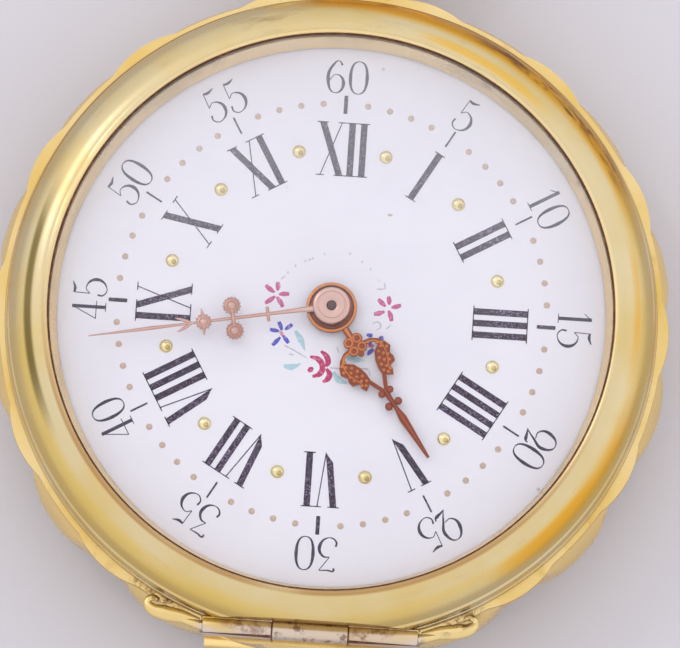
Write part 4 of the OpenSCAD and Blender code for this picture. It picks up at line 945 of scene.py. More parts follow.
@dataclass
class DialPrinting:
    """Everything printed, painted or set on the enamel."""

    centre: Point = (0.03, 0.1)
    numeral_in: float = 7.22
    numeral_out: float = 10.06
    stroke: float = 0.335
    pitch: float = 0.605
    hair: float = 0.055
    v_width: float = 1.28
    v_feet: Point = (-0.03, 0.11)
    v_point: float = 0.5
    x_width: float = 1.45
    serif: float = 0.95
    thin_serif: float = 0.7
    digit_in: float = 11.6
    digit_size: float = 1.72
    digit_gap: float = 0.12
    tick_in: float = 10.52
    tick_out: float = 11.48
    tick_wide: float = 0.2
    tick_narrow: float = 0.095
    dot_ring: float = 11.03
    dot: Triple = (0.17, 0.17, 0.05)
    stud_ring: float = 8.66
    stud: Triple = (0.35, 0.35, 0.2)
    stud_top: Triple = (0.22, 0.22, 0.22)
    stud_wear: Point = (0.06, -0.06)
    paint: float = 0.012

    def _spot(self, angle: float, radius: float, height: float) -> Matrix:
        """A place on the printed dial, its top outwards."""
        return at(*self.centre) @ turned(angle, radius, height)

    def _numeral(self, shape: Shape, word: str, base: Matrix) -> None:
        """Adds one hour numeral, its top outwards.

        Args:
            shape: the mesh that takes it.
            word: its letters.
            base: its middle.
        """
        tall = self.numeral_out - self.numeral_in
        widths = {"I": self.pitch, "V": self.v_width, "X": self.x_width}
        left = -sum(widths[letter] for letter in word) / 2
        for letter in word:
            x = left + widths[letter] / 2
            half = (widths[letter] - self.stroke * 1.35) / 2
            serifs = [(x - half, self.serif, 1), (x + half, self.thin_serif, 1)]
            if letter == "I":
                shape.box((self.stroke, tall, self.paint), base @ at(x, 0))
                serifs = [(x, 0.98, end) for end in (1, -1)]
            elif letter == "V":
                self._leg(shape, base, (x - half, x + self.v_feet[0]), self.stroke, self.v_point)
                self._leg(shape, base, (x + half, x + self.v_feet[1]), self.hair)
            else:
                self._leg(shape, base, (x - half, x + half), self.stroke)
                self._leg(shape, base, (x + half, x - half), self.hair)
                serifs += [(x + half, self.serif, -1), (x - half, self.thin_serif, -1)]
            for middle, share, end in serifs:
                spot = base @ at(middle, end * (tall - self.hair) / 2)
                shape.box((self.pitch * share, self.hair, self.paint), spot)
            left += widths[letter]

    def _leg(self, shape: Shape, base: Matrix, ends: Point, wide: float, point: float = 0.0) -> None:
        """Adds a slanting stroke, cut level at its ends or to a point at the lower one.

        Args:
            shape: the mesh that takes it.
            base: the numeral's place.
            ends: how far across its upper and lower ends are.
            wide: its width across the stroke.
            point: how far the lower end's left corner is cut back.
        """
        tall = self.numeral_out - self.numeral_in
        slope = (ends[0] - ends[1]) / tall
        shear = Matrix.Identity(4)
        shear[0][1] = slope
        verts = shape.box((wide * math.hypot(1, slope), tall, self.paint), Matrix.Identity(4))
        corner = [v for v in verts if v.co.x < 0 and v.co.y < 0]
        bmesh.ops.translate(shape.mesh, vec=(0, point, 0), verts=corner)
        bmesh.ops.transform(shape.mesh, matrix=base @ at(sum(ends) / 2, 0) @ shear, verts=verts)

    def numerals(self) -> None:
        """Builds the twelve hour numerals."""
        shape = Shape()
        middle = (self.numeral_out + self.numeral_in) / 2
        for hour, word in enumerate(ROMAN):
            self._numeral(shape, word, self._spot(hour * HOUR_STEP, middle, DIAL_TOP + self.paint / 2))
        shape.piece("hour_numerals", INK, Body.CASE, Slot.BLUED_STEEL)

    def minutes(self) -> None:
        """Builds the minute numbers 5 to 60."""
        shape = Shape()
        for step in range(12):
            word = str(step * 5 or 60)
            widths = [NARROW_DIGITS.get(digit, DIGIT_WIDTH) * self.digit_size for digit in word]
            left = -(sum(widths) + self.digit_gap * (len(word) - 1)) / 2
            for digit, wide in zip(word, widths):
                place = self._spot(step * HOUR_STEP, self.digit_in, DIAL_TOP) @ at(left, 0)
                shape.strokes(DIGITS[digit], place, self.paint, self.digit_size)
                left += wide + self.digit_gap
        shape.piece("minute_numbers", FINE_INK, Body.CASE, Slot.BLUED_STEEL, 60)

    def ticks(self) -> None:
        """Builds the five-minute strokes, broader at the quarters."""
        shape = Shape()
        middle = (self.tick_in + self.tick_out) / 2
        for step in range(12):
            wide = self.tick_narrow if step % 3 else self.tick_wide
            place = self._spot(step * HOUR_STEP, middle, DIAL_TOP + self.paint / 2)
            shape.box((wide, self.tick_out - self.tick_in, self.paint), place)
        shape.piece("five_minute_strokes", INK, Body.CASE, Slot.BLUED_STEEL)

    def dots(self) -> None:
        """Builds the small minute dots."""
        shape = Shape()
        for minute in range(60):
            if minute % 5:
                shape.dome(self.dot, self._spot(minute * MINUTE_STEP, self.dot_ring, DIAL_TOP), 10)
        shape.piece("minute_dots", TINT_DOT, Body.CASE, Slot.ROSE_GOLD, 60)

    def studs(self) -> None:
        """Builds the twelve domed gold dots between the hours, each with a darker dome set off towards the
        lower right as painted shade.
        """
        shape, tops = Shape(), Shape()
        for step in range(12):
            spot = self._spot((step + 0.5) * HOUR_STEP, self.stud_ring, DIAL_TOP)
            shape.dome(self.stud, spot, 20)
            # painted shade: a darker dome set off towards the lower right of each stud
            tops.dome(self.stud_top, at(*self.stud_wear) @ spot, 20)
        tops.piece("half_hour_stud_shade", STUD_SHADE, Body.CASE, Slot.CASE_GOLD, 60)
        shape.piece("half_hour_studs", STUD_GOLD, Body.CASE, Slot.CASE_GOLD, 60)

    def build(self) -> None:
        """Prints the dial and sets its studs."""
        self.numerals()
        self.minutes()
        self.ticks()
        self.dots()
        self.studs()


@dataclass(frozen=True)
class Brushwork:
    """One colour's brush strokes, with the brush's half width at a stroke's start, middle and end."""

    name: str
    finish: PaintFinish
    halves: Triple
    strokes: tuple[tuple[Point, ...], ...]


FESTOON: tuple[Point, ...] = (
    (-0.55, 3.2), (-1.15, 2.92), (-1.3, 2.85), (-1.51, 2.76), (-2.0, 2.48), (-2.37, 2.1),
    (0.76, 3.29), (1.4, 2.9), (1.86, 2.54), (2.34, 1.98),
)
FESTOON_HALF = 0.04
BOUQUET: tuple[Brushwork, ...] = (
    Brushwork("pink_petals", PINK, (0.06, 0.135, 0.09), (
        ((-2.97, 1.02), (-3.22, 1.17), (-3.46, 1.37)), ((-2.83, 1.12), (-2.82, 1.36), (-2.85, 1.58)),
        ((-2.75, 0.93), (-2.51, 0.97), (-2.22, 0.98)), ((-2.93, 0.82), (-3.17, 0.62), (-3.42, 0.42)),
        ((-2.84, 0.8), (-2.67, 0.57), (-2.5, 0.28)), ((2.75, 0.65), (2.55, 0.83), (2.35, 1.01)),
        ((2.93, 0.75), (2.92, 0.95), (2.87, 1.19)), ((3.05, 0.62), (3.29, 0.67), (3.54, 0.78)),
        ((2.72, 0.39), (2.45, 0.28), (2.18, 0.22)), ((2.91, 0.45), (3.03, 0.21), (3.11, -0.1)),
    )),
    Brushwork("violet_petals", VIOLET, (0.06, 0.115, 0.09), (
        ((-2.47, -0.93), (-2.56, -0.7), (-2.66, -0.5)), ((-2.31, -0.89), (-2.16, -0.76), (-1.96, -0.59)),
        ((-2.6, -0.99), (-2.84, -0.96), (-3.09, -0.93)), ((-2.53, -1.3), (-2.72, -1.53), (-2.91, -1.74)),
        ((-2.4, -1.2), (-2.25, -1.37), (-2.08, -1.58)), ((1.88, -0.87), (2.03, -0.9), (2.18, -0.92)),
        ((2.52, -1.02), (2.63, -1.0), (2.75, -0.98)), ((1.83, -1.28), (2.0, -1.28), (2.17, -1.32)),
        ((1.98, -1.94), (2.11, -1.77), (2.28, -1.6)),
    )),
    Brushwork("flower_hearts", PINK, (0.07, 0.09, 0.07), (
        ((-2.55, -1.0), (-2.47, -1.1), (-2.39, -1.2)), ((2.0, -1.46), (2.16, -1.45), (2.3, -1.42)),
    )),
    Brushwork("rose_petals", ROSE, (0.07, 0.15, 0.07), (
        ((-0.93, -2.2), (-0.48, -2.34), (-0.27, -2.69), (-0.37, -3.05), (-0.75, -3.24)),
        ((-0.4, -1.88), (-0.09, -2.15), (0.0, -2.45), (-0.09, -2.67)),
        ((-0.07, -2.78), (0.11, -3.05), (0.05, -3.29), (-0.2, -3.48)),
        ((-1.0, -2.97), (-0.87, -2.88), (-0.76, -2.76)),
    )),
    Brushwork("painted_leaves", LEAF, (0.08, 0.17, 0.03), (
        ((-1.78, -0.92), (-1.48, -1.35), (-1.22, -1.9)), ((-2.26, -2.77), (-1.87, -2.81), (-1.38, -2.6)),
        ((0.3, -2.93), (0.59, -3.31), (1.05, -3.49)), ((0.9, -2.12), (1.35, -2.2), (1.86, -2.25)),
    )),
    Brushwork("painted_stems", FAINT, (0.03, 0.035, 0.02), (
        ((-2.29, -1.71), (-1.77, -1.94), (-1.12, -2.28)), ((-2.02, -2.14), (-1.89, -2.16), (-1.77, -2.18)),
        ((0.13, -2.72), (0.41, -2.73), (0.66, -2.74)), ((1.66, -2.66), (2.09, -2.71), (2.19, -2.99)),
        ((0.41, -1.63), (0.46, -1.8), (0.53, -1.92)),
        ((2.17, -0.27), (2.4, -0.18), (2.57, -0.4), (2.35, -0.62)),
        ((2.85, -0.51), (3.0, -0.38), (3.06, -0.25)), ((2.25, 1.55), (2.45, 1.53), (2.63, 1.58)),
        ((2.61, 1.88), (2.65, 1.72), (2.68, 1.55)), ((-2.68, 1.73), (-2.59, 1.83), (-2.51, 1.93)),
    )),
    Brushwork("painted_festoon", FAINT, (0.05, 0.07, 0.05), tuple(
        ((x - FESTOON_HALF, y), (x, y), (x + FESTOON_HALF, y)) for x, y in FESTOON
    )),
    Brushwork("enamel_chip", TINT_DOT, (0.02, 0.075, 0.02), (((2.53, 5.47), (2.68, 5.44), (2.82, 5.45)),)),
)


@dataclass
class Bouquet:
    """The painted flowers round the middle of the dial."""

    paint: float = 0.02

    def build(self) -> None:
        """Paints the flowers, leaves, stems and festoon, colour by colour."""
        for work in BOUQUET:
            start, middle, end = work.halves
            strokes = [
                tuple((x, y, h) for (x, y), h in zip(points, [start, *[middle] * (len(points) - 2), end]))
                for points in work.strokes
            ]
            shape = Shape()
            shape.strokes(strokes, at(0, 0, DIAL_TOP), self.paint)
            shape.piece(work.name, work.finish, Body.CASE, Slot.ENAMEL, 60)


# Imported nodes


SMOOTHED: dict[str, Finish] = {
    "case_band": CASE_GOLD,
    "crystal": CRYSTAL,
    "back_cover": CASE_GOLD,
    "cuvette": CASE_GOLD,
    "bezel_hinge_pin": WORN_HINGE,
    "back_hinge_pin": WORN_HINGE,
    "cuvette_hinge_pin": WORN_HINGE,
    "pendant": CASE_GOLD,
    "stem_sleeve": STEEL,
    "bow": CASE_GOLD,
    "crown": CASE_GOLD,
    "stem": STEEL,
    "cannon_pinion": DARK_STEEL,
    "center_wheel": BRASS,
    "dial": ENAMEL,
}
DRESSED: dict[Finish, str] = {
    COPPER: "dial_feet",
    PLATE_GILT: "main_plate",
    NICKEL: "barrel_bridge train_bridge pallet_cock balance_cock",
    BRASS: "minute_wheel hour_wheel barrel_drum barrel_lid third_wheel fourth_wheel balance_wheel"
    " balance_screws",
    BLUED: "mainspring click_screw hairspring bridge_screws case_screws",
    RUBY: "balance_cap train_jewels",
    STEEL: "dial_foot_screws barrel_arbor ratchet_wheel ratchet_screw crown_wheel crown_wheel_screw click"
    " click_spring escape_wheel pallet_fork balance_staff hairspring_stud regulator winding_pinion"
    " sliding_pinion setting_wheel setting_lever yoke setting_spring yoke_spring",
}


def smooth_copy(node: bpy.types.Object, name: str, finish: Finish, sharp: float = 32.0) -> bpy.types.Object:
    """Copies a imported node, merged and smoothed, to stand for it.

    Args:
        node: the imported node.
        name: the copy's name.
        finish: the copy's finish.
        sharp: the angle from which an edge stays sharp, in degrees.

    Returns:
        The copy.
    """
    shape = Shape()
    shape.mesh.from_mesh(node.data)
    bmesh.ops.scale(shape.mesh, vec=(1 / MM, 1 / MM, 1 / MM), verts=shape.mesh.verts)
    bmesh.ops.remove_doubles(shape.mesh, verts=shape.mesh.verts, dist=2e-4)
    piece = shape.piece(name, finish, node["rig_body"], sharp=sharp)
    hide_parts(node.name)
    return piece


@dataclass
class PackedNodes:
    """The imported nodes: curved ones give way to smoothed copies, the others take a finish."""

    nodes: Mapping[str, bpy.types.Object]

    def build(self) -> None:
        """Copies the curved nodes and dresses the others."""
        for name, finish in SMOOTHED.items():
            smooth_copy(self.nodes[name], f"{name}_smooth", finish)
        for finish, names in DRESSED.items():
            for name in names.split():
                materials = self.nodes[name].data.materials
                materials.clear()
                materials.append(material_of(finish))
                LOG.info("node %s: %s", name, finish.name)


# Hands


@dataclass
class MinuteHand:
    """The pale pierced minute hand: wire, rosettes, star, barbs and needle on a turned boss."""

    turn: float = 259.2
    height: float = 8.3
    length: float = 12.5
    half_thick: float = 0.08
    shares: tuple[float, ...] = (0.262, 0.405, 0.527, 0.573)
    side_rosette: tuple[float, float, int] = (0.66, 0.47, 15)
    star_rosette: tuple[float, int] = (0.43, 12)
    bead_ring: float = 0.86
    bead: Point = (0.15, 0.17)
    button: Point = (0.56, 1.7)
    disc_thick: float = 0.8
    boss: tuple[Point, ...] = (
        (0.46, 0.0), (0.92, 0.0), (0.95, 0.03), (0.95, 0.35), (0.94, 0.39), (0.9, 0.42), (0.75, 0.42),
        (0.735, 0.34), (0.67, 0.34), (0.655, 0.4), (0.28, 0.4), (0.24, 0.38), (0.24, 0.31), (0.46, 0.31),
    )

    def build(self) -> None:
        """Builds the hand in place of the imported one."""
        shape, shade_discs = Shape(), Shape()
        shape.ring(self.boss, 72, (*HUB, self.height))
        place = at(*HUB, self.height + self.half_thick) @ turned(self.turn, 0.0)
        bar, rosette, star, barb = (self.length * share for share in self.shares)
        wires: tuple[Stroke, ...] = (
            ((0.0, 0.85, 0.16), (0.0, 2.6, 0.1), (0.0, star, 0.075)),
            ((0.0, star, 0.09), (0.0, barb + 0.15, 0.06), (0.0, 9.4, 0.1), (0.0, self.length, 0.03)),
            ((-0.38, bar, 0.085), (0.0, bar, 0.085), (0.38, bar, 0.085)),
            ((-0.6, rosette, 0.1), (0.0, rosette, 0.1), (0.6, rosette, 0.1)),
            ((0.0, barb, 0.05), (0.2, barb + 0.42, 0.09), (0.36, barb + 0.82, 0.03)),
            ((0.0, barb, 0.05), (-0.2, barb + 0.42, 0.09), (-0.36, barb + 0.82, 0.03)),
            ((-0.7, star + 0.04, 0.035), (0.0, star, 0.16), (0.7, star + 0.04, 0.035)),
        )
        shape.strokes(wires, place, self.half_thick)
        out, *sizes = self.side_rosette
        for side in (-1, 1):
            self._rosette(shape, shade_discs, place @ at(side * out, rosette), *sizes)
        self._rosette(shape, shade_discs, place @ at(0.0, star), *self.star_rosette)
        # painted shade: the darker discs under the rosettes' beads
        shade_discs.piece("minute_hand_shade_discs", ROSE_PAINTED_SHADE, Body.MINUTE, Slot.ROSE_GOLD, 60)
        piece = shape.piece("minute_hand_pierced", ROSE_GOLD, Body.MINUTE, Slot.ROSE_GOLD, 40)
        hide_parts("minute_hand")

    def _rosette(self, shape: Shape, shade_discs: Shape, place: Matrix, radius: float, beads: int) -> None:
        """Adds a domed button in a ring of beads, on a darker disc that is painted shade between the beads.

        Args:
            shape: the mesh that takes it.
            shade_discs: the mesh that takes its disc.
            place: its middle.
            radius: its whole radius.
            beads: how many beads are round it.
        """
        rim, button = radius * self.bead_ring, radius * self.button[0]
        shade_discs.ball((rim, rim, self.half_thick * self.disc_thick), place, 20)
        shape.ball((button, button, self.half_thick * self.button[1]), place, 16)
        for step in range(beads):
            spot = place @ turned(360.0 * step / beads, rim)
            shape.ball((radius * self.bead[0], radius * self.bead[1], self.half_thick), spot, 8)


@dataclass
class HourHand:
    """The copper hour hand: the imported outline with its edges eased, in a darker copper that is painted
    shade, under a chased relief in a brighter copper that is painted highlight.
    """

    nodes: Mapping[str, bpy.types.Object]
    turn: float = 143.8
    top: float = 7.96
    length: float = 9.2
    ease: float = 0.03
    half_thick: float = 0.07
    rim: tuple[Point, Point] = ((1.2, 0.13), (0.1, 0.07))
    flower: Point = (0.0, 2.27)
    petal: float = 0.35
    petal_loop: Point = (0.19, 0.055)
    heart: float = 0.25
    hollow: Triple = (0.17, 0.17, 0.05)
    hollow_z: float = -0.03
    buttons: tuple[tuple[Point, Triple], ...] = (
        ((0.25, 5.17), (0.17, 0.17, 0.1)),
        ((0.28, 5.9), (0.19, 0.19, 0.12)),
    )
    grain: Triple = (0.1, 0.1, 0.06)
    grains: tuple[Point, ...] = (
        (0.62, 2.5), (0.98, 2.76), (1.2, 2.86), (1.06, 3.02), (1.3, 3.2), (0.82, 3.2), (0.98, 3.4),
        (0.66, 3.5), (1.14, 3.56), (0.84, 3.72), (0.58, 3.84), (1.06, 3.84), (0.76, 4.04), (0.52, 4.16),
        (0.86, 4.26), (0.68, 4.36),
    )

    def build(self) -> None:
        """Builds the outline and its relief."""
        # painted shade: the outline in the darker copper
        piece = smooth_copy(self.nodes["hour_hand"], "hour_hand_outline", COPPER_PAINTED_SHADE)
        ease = piece.modifiers.new("eased_edges", "BEVEL")
        ease.width = self.ease * MM
        ease.segments = 2
        ease.limit_method = "ANGLE"
        ease.angle_limit = math.radians(50)
        place = at(*HUB, self.top) @ turned(self.turn, 0.0)
        self._flower(place)
        self._spade(place)
        self._relief(place)

    def _flower(self, place: Matrix) -> None:
        """Puts dark balls in the flower's hollows, as painted shade.

        Args:
            place: the hand's hub, turned to its hour.
        """
        shape = Shape()
        x, y = self.flower
        corners = [(x + i * self.heart, y + j * self.heart) for j in (1, -1) for i in (1, -1)]
        for spot in (self.flower, *corners):
            shape.ball(self.hollow, place @ at(*spot, self.hollow_z), 12)
        shape.piece("hour_hand_flower_shade", COPPER_PAINTED_SHADE, Body.HOUR, Slot.COPPER_GOLD, 60)

    def _spade(self, place: Matrix) -> None:
        """Builds the ridge of the point with its neck and buttons.

        Args:
            place: the hand's hub, turned to its hour.
        """
        shape = Shape()
        ridges: list[Stroke] = [
            ((0.0, 5.0, 0.08), (0.0, 5.6, 0.08), (0.0, 6.1, 0.06), (0.0, 6.8, 0.13), (0.0, self.length, 0.04))
        ]
        for side in (-1, 1):
            ridges.append(((side * 0.5, 4.3, 0.05), (side * 0.25, 4.85, 0.05), (side * 0.02, 5.2, 0.05)))
        shape.strokes(ridges, place, self.half_thick)
        for side in (-1, 1):
            for (x, y), radii in self.buttons:
                shape.ball(radii, place @ at(side * x, y), 14)
        shape.piece("hour_hand_spade", COPPER_DARK, Body.HOUR, Slot.COPPER_GOLD, 45)

    def _relief(self, place: Matrix) -> None:
        """Builds the raised rim, petal rims, veins and grains.

        Args:
            place: the hand's hub, turned to its hour.
        """
        shape = Shape()
        shape.ring(arc(*self.rim, fan(0, 330, 12)), 72, (*HUB, self.top))
        lines: list[Stroke] = [((0.0, 1.3, 0.12), (0.0, 1.6, 0.1), (0.0, 1.95, 0.07))]
        for side in (-1, 1):
            vein = ((0.36, 2.42, 0.05), (0.95, 2.62, 0.06), (1.16, 3.1, 0.05), (0.78, 4.3, 0.03))
            lines.append(tuple((side * x, y, half) for x, y, half in vein))
        for x, y in arc(self.flower, (self.petal, self.petal), fan(45, 315, 4)):
            loop = ((1, 0), (0, 1), (-1, 0), (0, -1), (1, 0))
            reach, half = self.petal_loop
            lines.append(tuple((x + reach * i, y + reach * j, half) for i, j in loop))
        shape.strokes(lines, place, self.half_thick)
        for side in (-1, 1):
            for x, y in self.grains:
                shape.dome(self.grain, place @ at(side * x, y), 8)
        # painted highlight: the relief in the brighter copper
        shape.piece("hour_hand_relief", COPPER_GOLD, Body.HOUR, Slot.COPPER_GOLD, 45)


# Case


@dataclass
class Bezel:
    """The round bezel, turned in fine steps, with its hinge knuckles and curled leaves."""

    opening_r: float = 14.5
    outer_r: float = 16.7
    foot_z: float = 6.73
    round_z: float = 7.13
    face_w: float = 2.1
    recess_r: float = 15.72
    recess_z: float = 7.52
    wall_r: float = 14.05
    wall_rise: float = 1.66
    glass_z: float = 8.68
    rebate: Point = (0.2, 0.36)
    foot_bead: float = 0.14
    foot_bead_z: float = 0.154
    foot_ease: float = 0.12
    shoulder: Point = (0.08, 0.03)
    lip: float = 0.12
    lip_sunk: float = 0.09
    cement_r: float = 0.06
    cement_at: Point = (-0.05, 0.39)
    groove: float = 0.09
    groove_at: float = 23.0
    groove_half: float = 3.0
    hinge_y: float = -16.35
    hinge_z: float = 7.0
    knuckle_r: float = 0.5
    knuckle_in: float = 1.93
    knuckle_out: float = 5.5
    web: Point = (0.42, 0.6)
    flat_back: float = 0.4
    # painted shade: where the dark bars go over the hinge's gaps and slit
    gap_dirt: Point = (1.84, 2.02)
    gap_dirt_proud: float = 0.014
    slit_dirt: Point = (2.0, 5.6)
    slit_dirt_at: Point = (-0.38, 0.31)
    slit_dirt_radii: Point = (0.085, 0.02)
    leaf_lean: float = 9.0
    leaf_root: tuple[Triple, Triple] = ((-0.3, -0.05, 0.0), (1.7, 0.1, 0.0))
    leaf_radii: Point = (0.32, 0.1)
    leaf_half: float = 0.24
    curl: Stroke = (
        (0.2, 0.2, 0.16), (1.2, 0.22, 0.36), (2.1, 0.2, 0.4), (2.75, 0.3, 0.3), (2.98, 0.62, 0.2),
        (2.72, 0.86, 0.15), (2.42, 0.78, 0.1),
    )
    steps: int = 240

    def _outline(self) -> list[Point]:
        """The ring's section.

        Returns:
            The closed outline of radius and height.
        """
        face_r = self.outer_r - self.face_w
        bead = (self.outer_r - self.foot_bead / 2, self.foot_z + self.foot_bead_z)
        eased_r = self.outer_r - self.foot_ease
        shoulder_r, shoulder_z = self.outer_r - self.shoulder[0], self.round_z - self.shoulder[1]
        points: list[Point] = [(self.wall_r, self.recess_z), (self.recess_r, self.recess_z)]
        points += [(self.recess_r, self.foot_z), (eased_r, self.foot_z)]
        points += arc(bead, (self.foot_bead, self.foot_bead), fan(-80, 100, 10))
        points += [(eased_r, shoulder_z), (shoulder_r, self.round_z)]
        for angle in fan(1.5, 84, 70):
            off = (math.degrees(angle) - self.groove_at) / self.groove_half
            sunk = self.face_w - self.groove * max(0.0, 1.0 - off**2)
            points += arc((face_r, self.round_z), (sunk, sunk), (angle,))
        lip = (face_r, self.round_z + self.face_w - self.lip_sunk)
        points += arc(lip, (self.lip, self.lip), fan(50, 180, 9))
        wall = self.wall_r + (self.opening_r - self.wall_r) * (self.glass_z - self.recess_z) / self.wall_rise
        step_r, step_z = self.opening_r + self.rebate[0], self.glass_z + self.rebate[1]
        points += [(self.opening_r, step_z), (step_r, step_z), (step_r, self.glass_z), (wall, self.glass_z)]
        return points

    def ring(self) -> None:
        """Builds the turned ring, cut flat behind its hinge."""
        shape = Shape()
        shape.ring(self._outline(), self.steps)
        cut = bmesh.ops.bisect_plane(
            shape.mesh,
            geom=[*shape.mesh.verts, *shape.mesh.edges, *shape.mesh.faces],
            plane_co=(0, self.hinge_y + self.flat_back, 0),
            plane_no=(0, -1, 0),
            clear_outer=True,
        )
        edges = [g for g in cut["geom_cut"] if isinstance(g, bmesh.types.BMEdge)]
        bmesh.ops.holes_fill(shape.mesh, edges=edges, sides=0)
        piece = shape.piece("bezel_ring", BEZEL_GOLD, Body.BEZEL, Slot.CASE_GOLD, 28)
        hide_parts("bezel")

    def seam(self) -> None:
        """Builds a dark ring between crystal and bezel, painted shade in the gap under the lip."""
        shape = Shape()
        middle = (self.opening_r + self.cement_at[0], self.glass_z + self.cement_at[1])
        shape.ring(arc(middle, (self.cement_r, self.cement_r), fan(0, 330, 12)), self.steps)
        # painted shade: the dark ring in the gap under the lip
        shape.piece("crystal_seam_shade", SHADE_LINE, Body.BEZEL, sharp=60)

    def _along(self, side: int, reach: Point, offset: Point = (0.0, 0.0)) -> list[Vector]:
        """Two places along one side of the hinge's pin, moved back and up by the offset."""
        return [Vector((side * x, self.hinge_y + offset[0], self.hinge_z + offset[1])) for x in reach]

    def hinge(self) -> None:
        """Builds the outer knuckles with their webs."""
        shape = Shape()
        middle, long = (self.knuckle_in + self.knuckle_out) / 2, self.knuckle_out - self.knuckle_in
        for side in (-1, 1):
            ends = self._along(side, (self.knuckle_in, self.knuckle_out))
            shape.bar(*ends, (self.knuckle_r, self.knuckle_r), 40)
            web = at(side * middle, self.hinge_y + self.web[0] / 2, self.foot_z + self.web[1] / 2)
            shape.box((long, *self.web), web)
        shape.piece("bezel_knuckles", WORN_HINGE, Body.BEZEL, Slot.HINGE_GOLD, 40)

    def dirt(self) -> None:
        """Builds dark bars over the gaps and along the slit of the hinge, as painted shade."""
        shape = Shape()
        wide = self.knuckle_r + self.gap_dirt_proud
        for side in (-1, 1):
            shape.bar(*self._along(side, self.gap_dirt), (wide, wide), 40)
            shape.bar(*self._along(side, self.slit_dirt, self.slit_dirt_at), self.slit_dirt_radii, 10)
        # painted shade: dark bars in the hinge's gaps and slit
        shape.piece("hinge_gap_shade", SHADE_LINE, Body.BEZEL, sharp=40)

    def leaves(self) -> None:
        """Builds the leaves that end in open curls, level with the bezel's foot below."""
        shape = Shape()
        for side in (-1, 1):
            place = at(side * self.knuckle_out, self.hinge_y, self.hinge_z) @ Matrix.Diagonal((side, 1, 1, 1))
            place = place @ Matrix.Rotation(math.radians(self.leaf_lean), 4, "Z")
            shape.bar(*(place @ Vector(end) for end in self.leaf_root), self.leaf_radii, 24)
            shape.strokes([self.curl], place, self.leaf_half, rounds=3)
        bmesh.ops.recalc_face_normals(shape.mesh, faces=shape.mesh.faces)
        for vert in shape.mesh.verts:
            vert.co.z = max(vert.co.z, self.foot_z)
        shape.piece("bezel_leaves", CASE_GOLD, Body.BEZEL, Slot.CASE_GOLD, 40)

    def build(self) -> None:
        """Builds the whole bezel."""
        self.ring()
        self.seam()
        self.hinge()
        self.dirt()
        self.leaves()


@dataclass
class BandRim:
    """The rounded edge of the case band's waved flange."""

    radius: float = 17.05
    swell: float = 0.3
    lobes: int = 14
    lobe_half: float = 6.7
    rises: Point = (0.04, 0.74)
    half: float = 0.19
    sunk: float = 0.9
    top: float = 6.7
    gap: float = 31.0

    def build(self) -> None:
        """Runs a round wire along the flange, open at the hinge."""
        pitch = 360.0 / self.lobes
        low, high = self.rises
        marks = ((-pitch / 2, 0.0), (-self.lobe_half, low), (-self.lobe_half / 2, high), (0.0, 1.0))
        marks += tuple((-turn, rise) for turn, rise in marks[2:0:-1])
        path: list[Triple] = []
        for step in range(self.lobes):
            for turn, rise in marks:
                bearing = pitch * (step + 0.5) + turn - 180.0
                if abs(bearing) <= 180.0 - self.gap:
                    reach = self.radius + self.swell * rise - self.half * self.sunk
                    spot = turned(bearing, reach).translation
                    path.append((spot.x, spot.y, self.half))
        shape = Shape()
        shape.strokes([tuple(path)], at(0, 0, self.top - self.half), self.half, rounds=4)
        shape.piece("band_rim", CASE_GOLD, Body.CASE, Slot.CASE_GOLD, 60)


# Stage


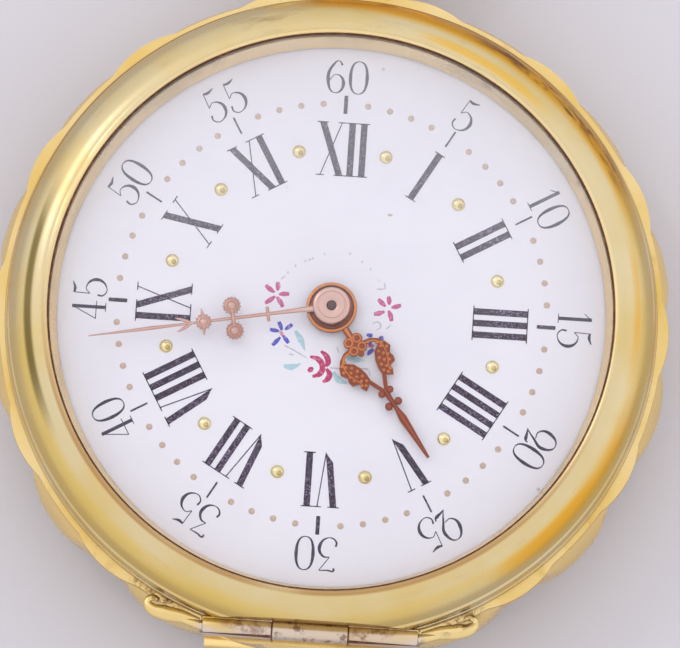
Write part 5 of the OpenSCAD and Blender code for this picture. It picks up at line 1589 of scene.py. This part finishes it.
@dataclass
class Studio:
    """Camera, table, lamps and sky."""

    bearing: float = 3.75
    elevation: float = 79.3
    distance: float = 300.0
    frame_width: float = 34.9
    sensor: float = 36.0
    aim: Triple = (0.474, -0.335, 7.0)
    table_half: float = 0.6
    table_z: float = -0.00004
    level: float = 1.06
    overhead: float = 0.15
    tint: Colour = (0.98, 0.98, 1.0)
    glows: tuple[tuple[Triple, float, float], ...] = (
        ((0.05, 0.42, 0.9), 0.88, 0.12),
        ((0.75, 0.2, 0.5), 0.75, 0.14),
    )
    lamps: tuple[tuple[str, Triple, float, float], ...] = (
        ("key", (-0.46, 0.2, 0.32), 0.26, 0.1),
        ("spark", (-0.24, 0.2, 0.42), 0.05, 0.12),
    )

    def _hang(self, name: str, data: Any, place: Vector, way: Vector) -> bpy.types.Object:
        """Places a camera or lamp.

        Args:
            name: its name.
            data: the camera's or lamp's data.
            place: where it goes, in metres.
            way: where it looks.

        Returns:
            The object.
        """
        made = bpy.data.objects.new(name, data)
        bpy.context.scene.collection.objects.link(made)
        made.location = place
        made.rotation_euler = way.to_track_quat("-Z", "Y").to_euler()
        return made

    def camera(self) -> None:
        """Puts the camera at the photograph's angle."""
        data = bpy.data.cameras.new("camera")
        data.sensor_width = self.sensor
        data.lens = self.sensor * self.distance / self.frame_width
        data.clip_start = 0.01
        data.clip_end = 10.0
        turn, rise = math.radians(self.bearing), math.radians(self.elevation)
        out = Vector((math.sin(turn) * math.cos(rise), -math.cos(turn) * math.cos(rise), math.sin(rise)))
        place = (Vector(self.aim) + out * self.distance) * MM
        bpy.context.scene.camera = self._hang("camera", data, place, -out)

    def table(self) -> None:
        """Lays the table top under the watch."""
        shape = bmesh.new()
        bmesh.ops.create_grid(shape, x_segments=8, y_segments=8, size=self.table_half)
        mesh = bpy.data.meshes.new("table_top")
        shape.to_mesh(mesh)
        shape.free()
        mesh.transform(at(0, 0, self.table_z))
        mesh.materials.append(material_of(TABLE))
        floor = bpy.data.objects.new("table_top", mesh)
        bpy.context.scene.collection.objects.link(floor)

    def sky(self) -> None:
        """Surrounds the scene with a soft tent, dimmer towards the table."""
        graph = Graph(bpy.data.worlds.new("tent"))
        way = graph.node("ShaderNodeTexCoord").outputs["Generated"]
        split = graph.node("ShaderNodeSeparateXYZ", inputs={0: way})
        level = self.level + self.overhead * Value(graph, split.outputs[2]).ramp(0.0, 0.8)
        for aim, low, gain in self.glows:
            ends = {0: way, 1: Vector(aim).normalized()}
            dot = graph.node("ShaderNodeVectorMath", {"operation": "DOT_PRODUCT"}, ends)
            level = level + gain * Value(graph, dot.outputs["Value"]).ramp(low, 1.0)
        shade = graph.node("ShaderNodeBackground", inputs={"Color": self.tint, "Strength": level})
        bpy.context.scene.world = graph.finish(shade.outputs[0])

    def light(self) -> None:
        """Hangs the soft lamps, which face the watch."""
        for name, place, size, power in self.lamps:
            data = bpy.data.lights.new(name, "AREA")
            data.size = size
            data.energy = power
            self._hang(name, data, Vector(place), -Vector(place))

    def build(self) -> None:
        """Sets the whole stage."""
        self.camera()
        self.table()
        self.sky()
        self.light()
        bpy.context.scene.view_settings.view_transform = "Standard"


def main() -> None:
    """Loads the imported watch, then builds and dresses it in order."""
    logging.basicConfig(level=logging.INFO, format="%(message)s")
    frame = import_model()
    Studio().build()
    PackedNodes(frame["nodes"]).build()
    Bezel().build()
    BandRim().build()
    DialPrinting().build()
    Bouquet().build()
    HourHand(frame["nodes"]).build()
    MinuteHand().build()


if __name__ == "__main__":
    main()
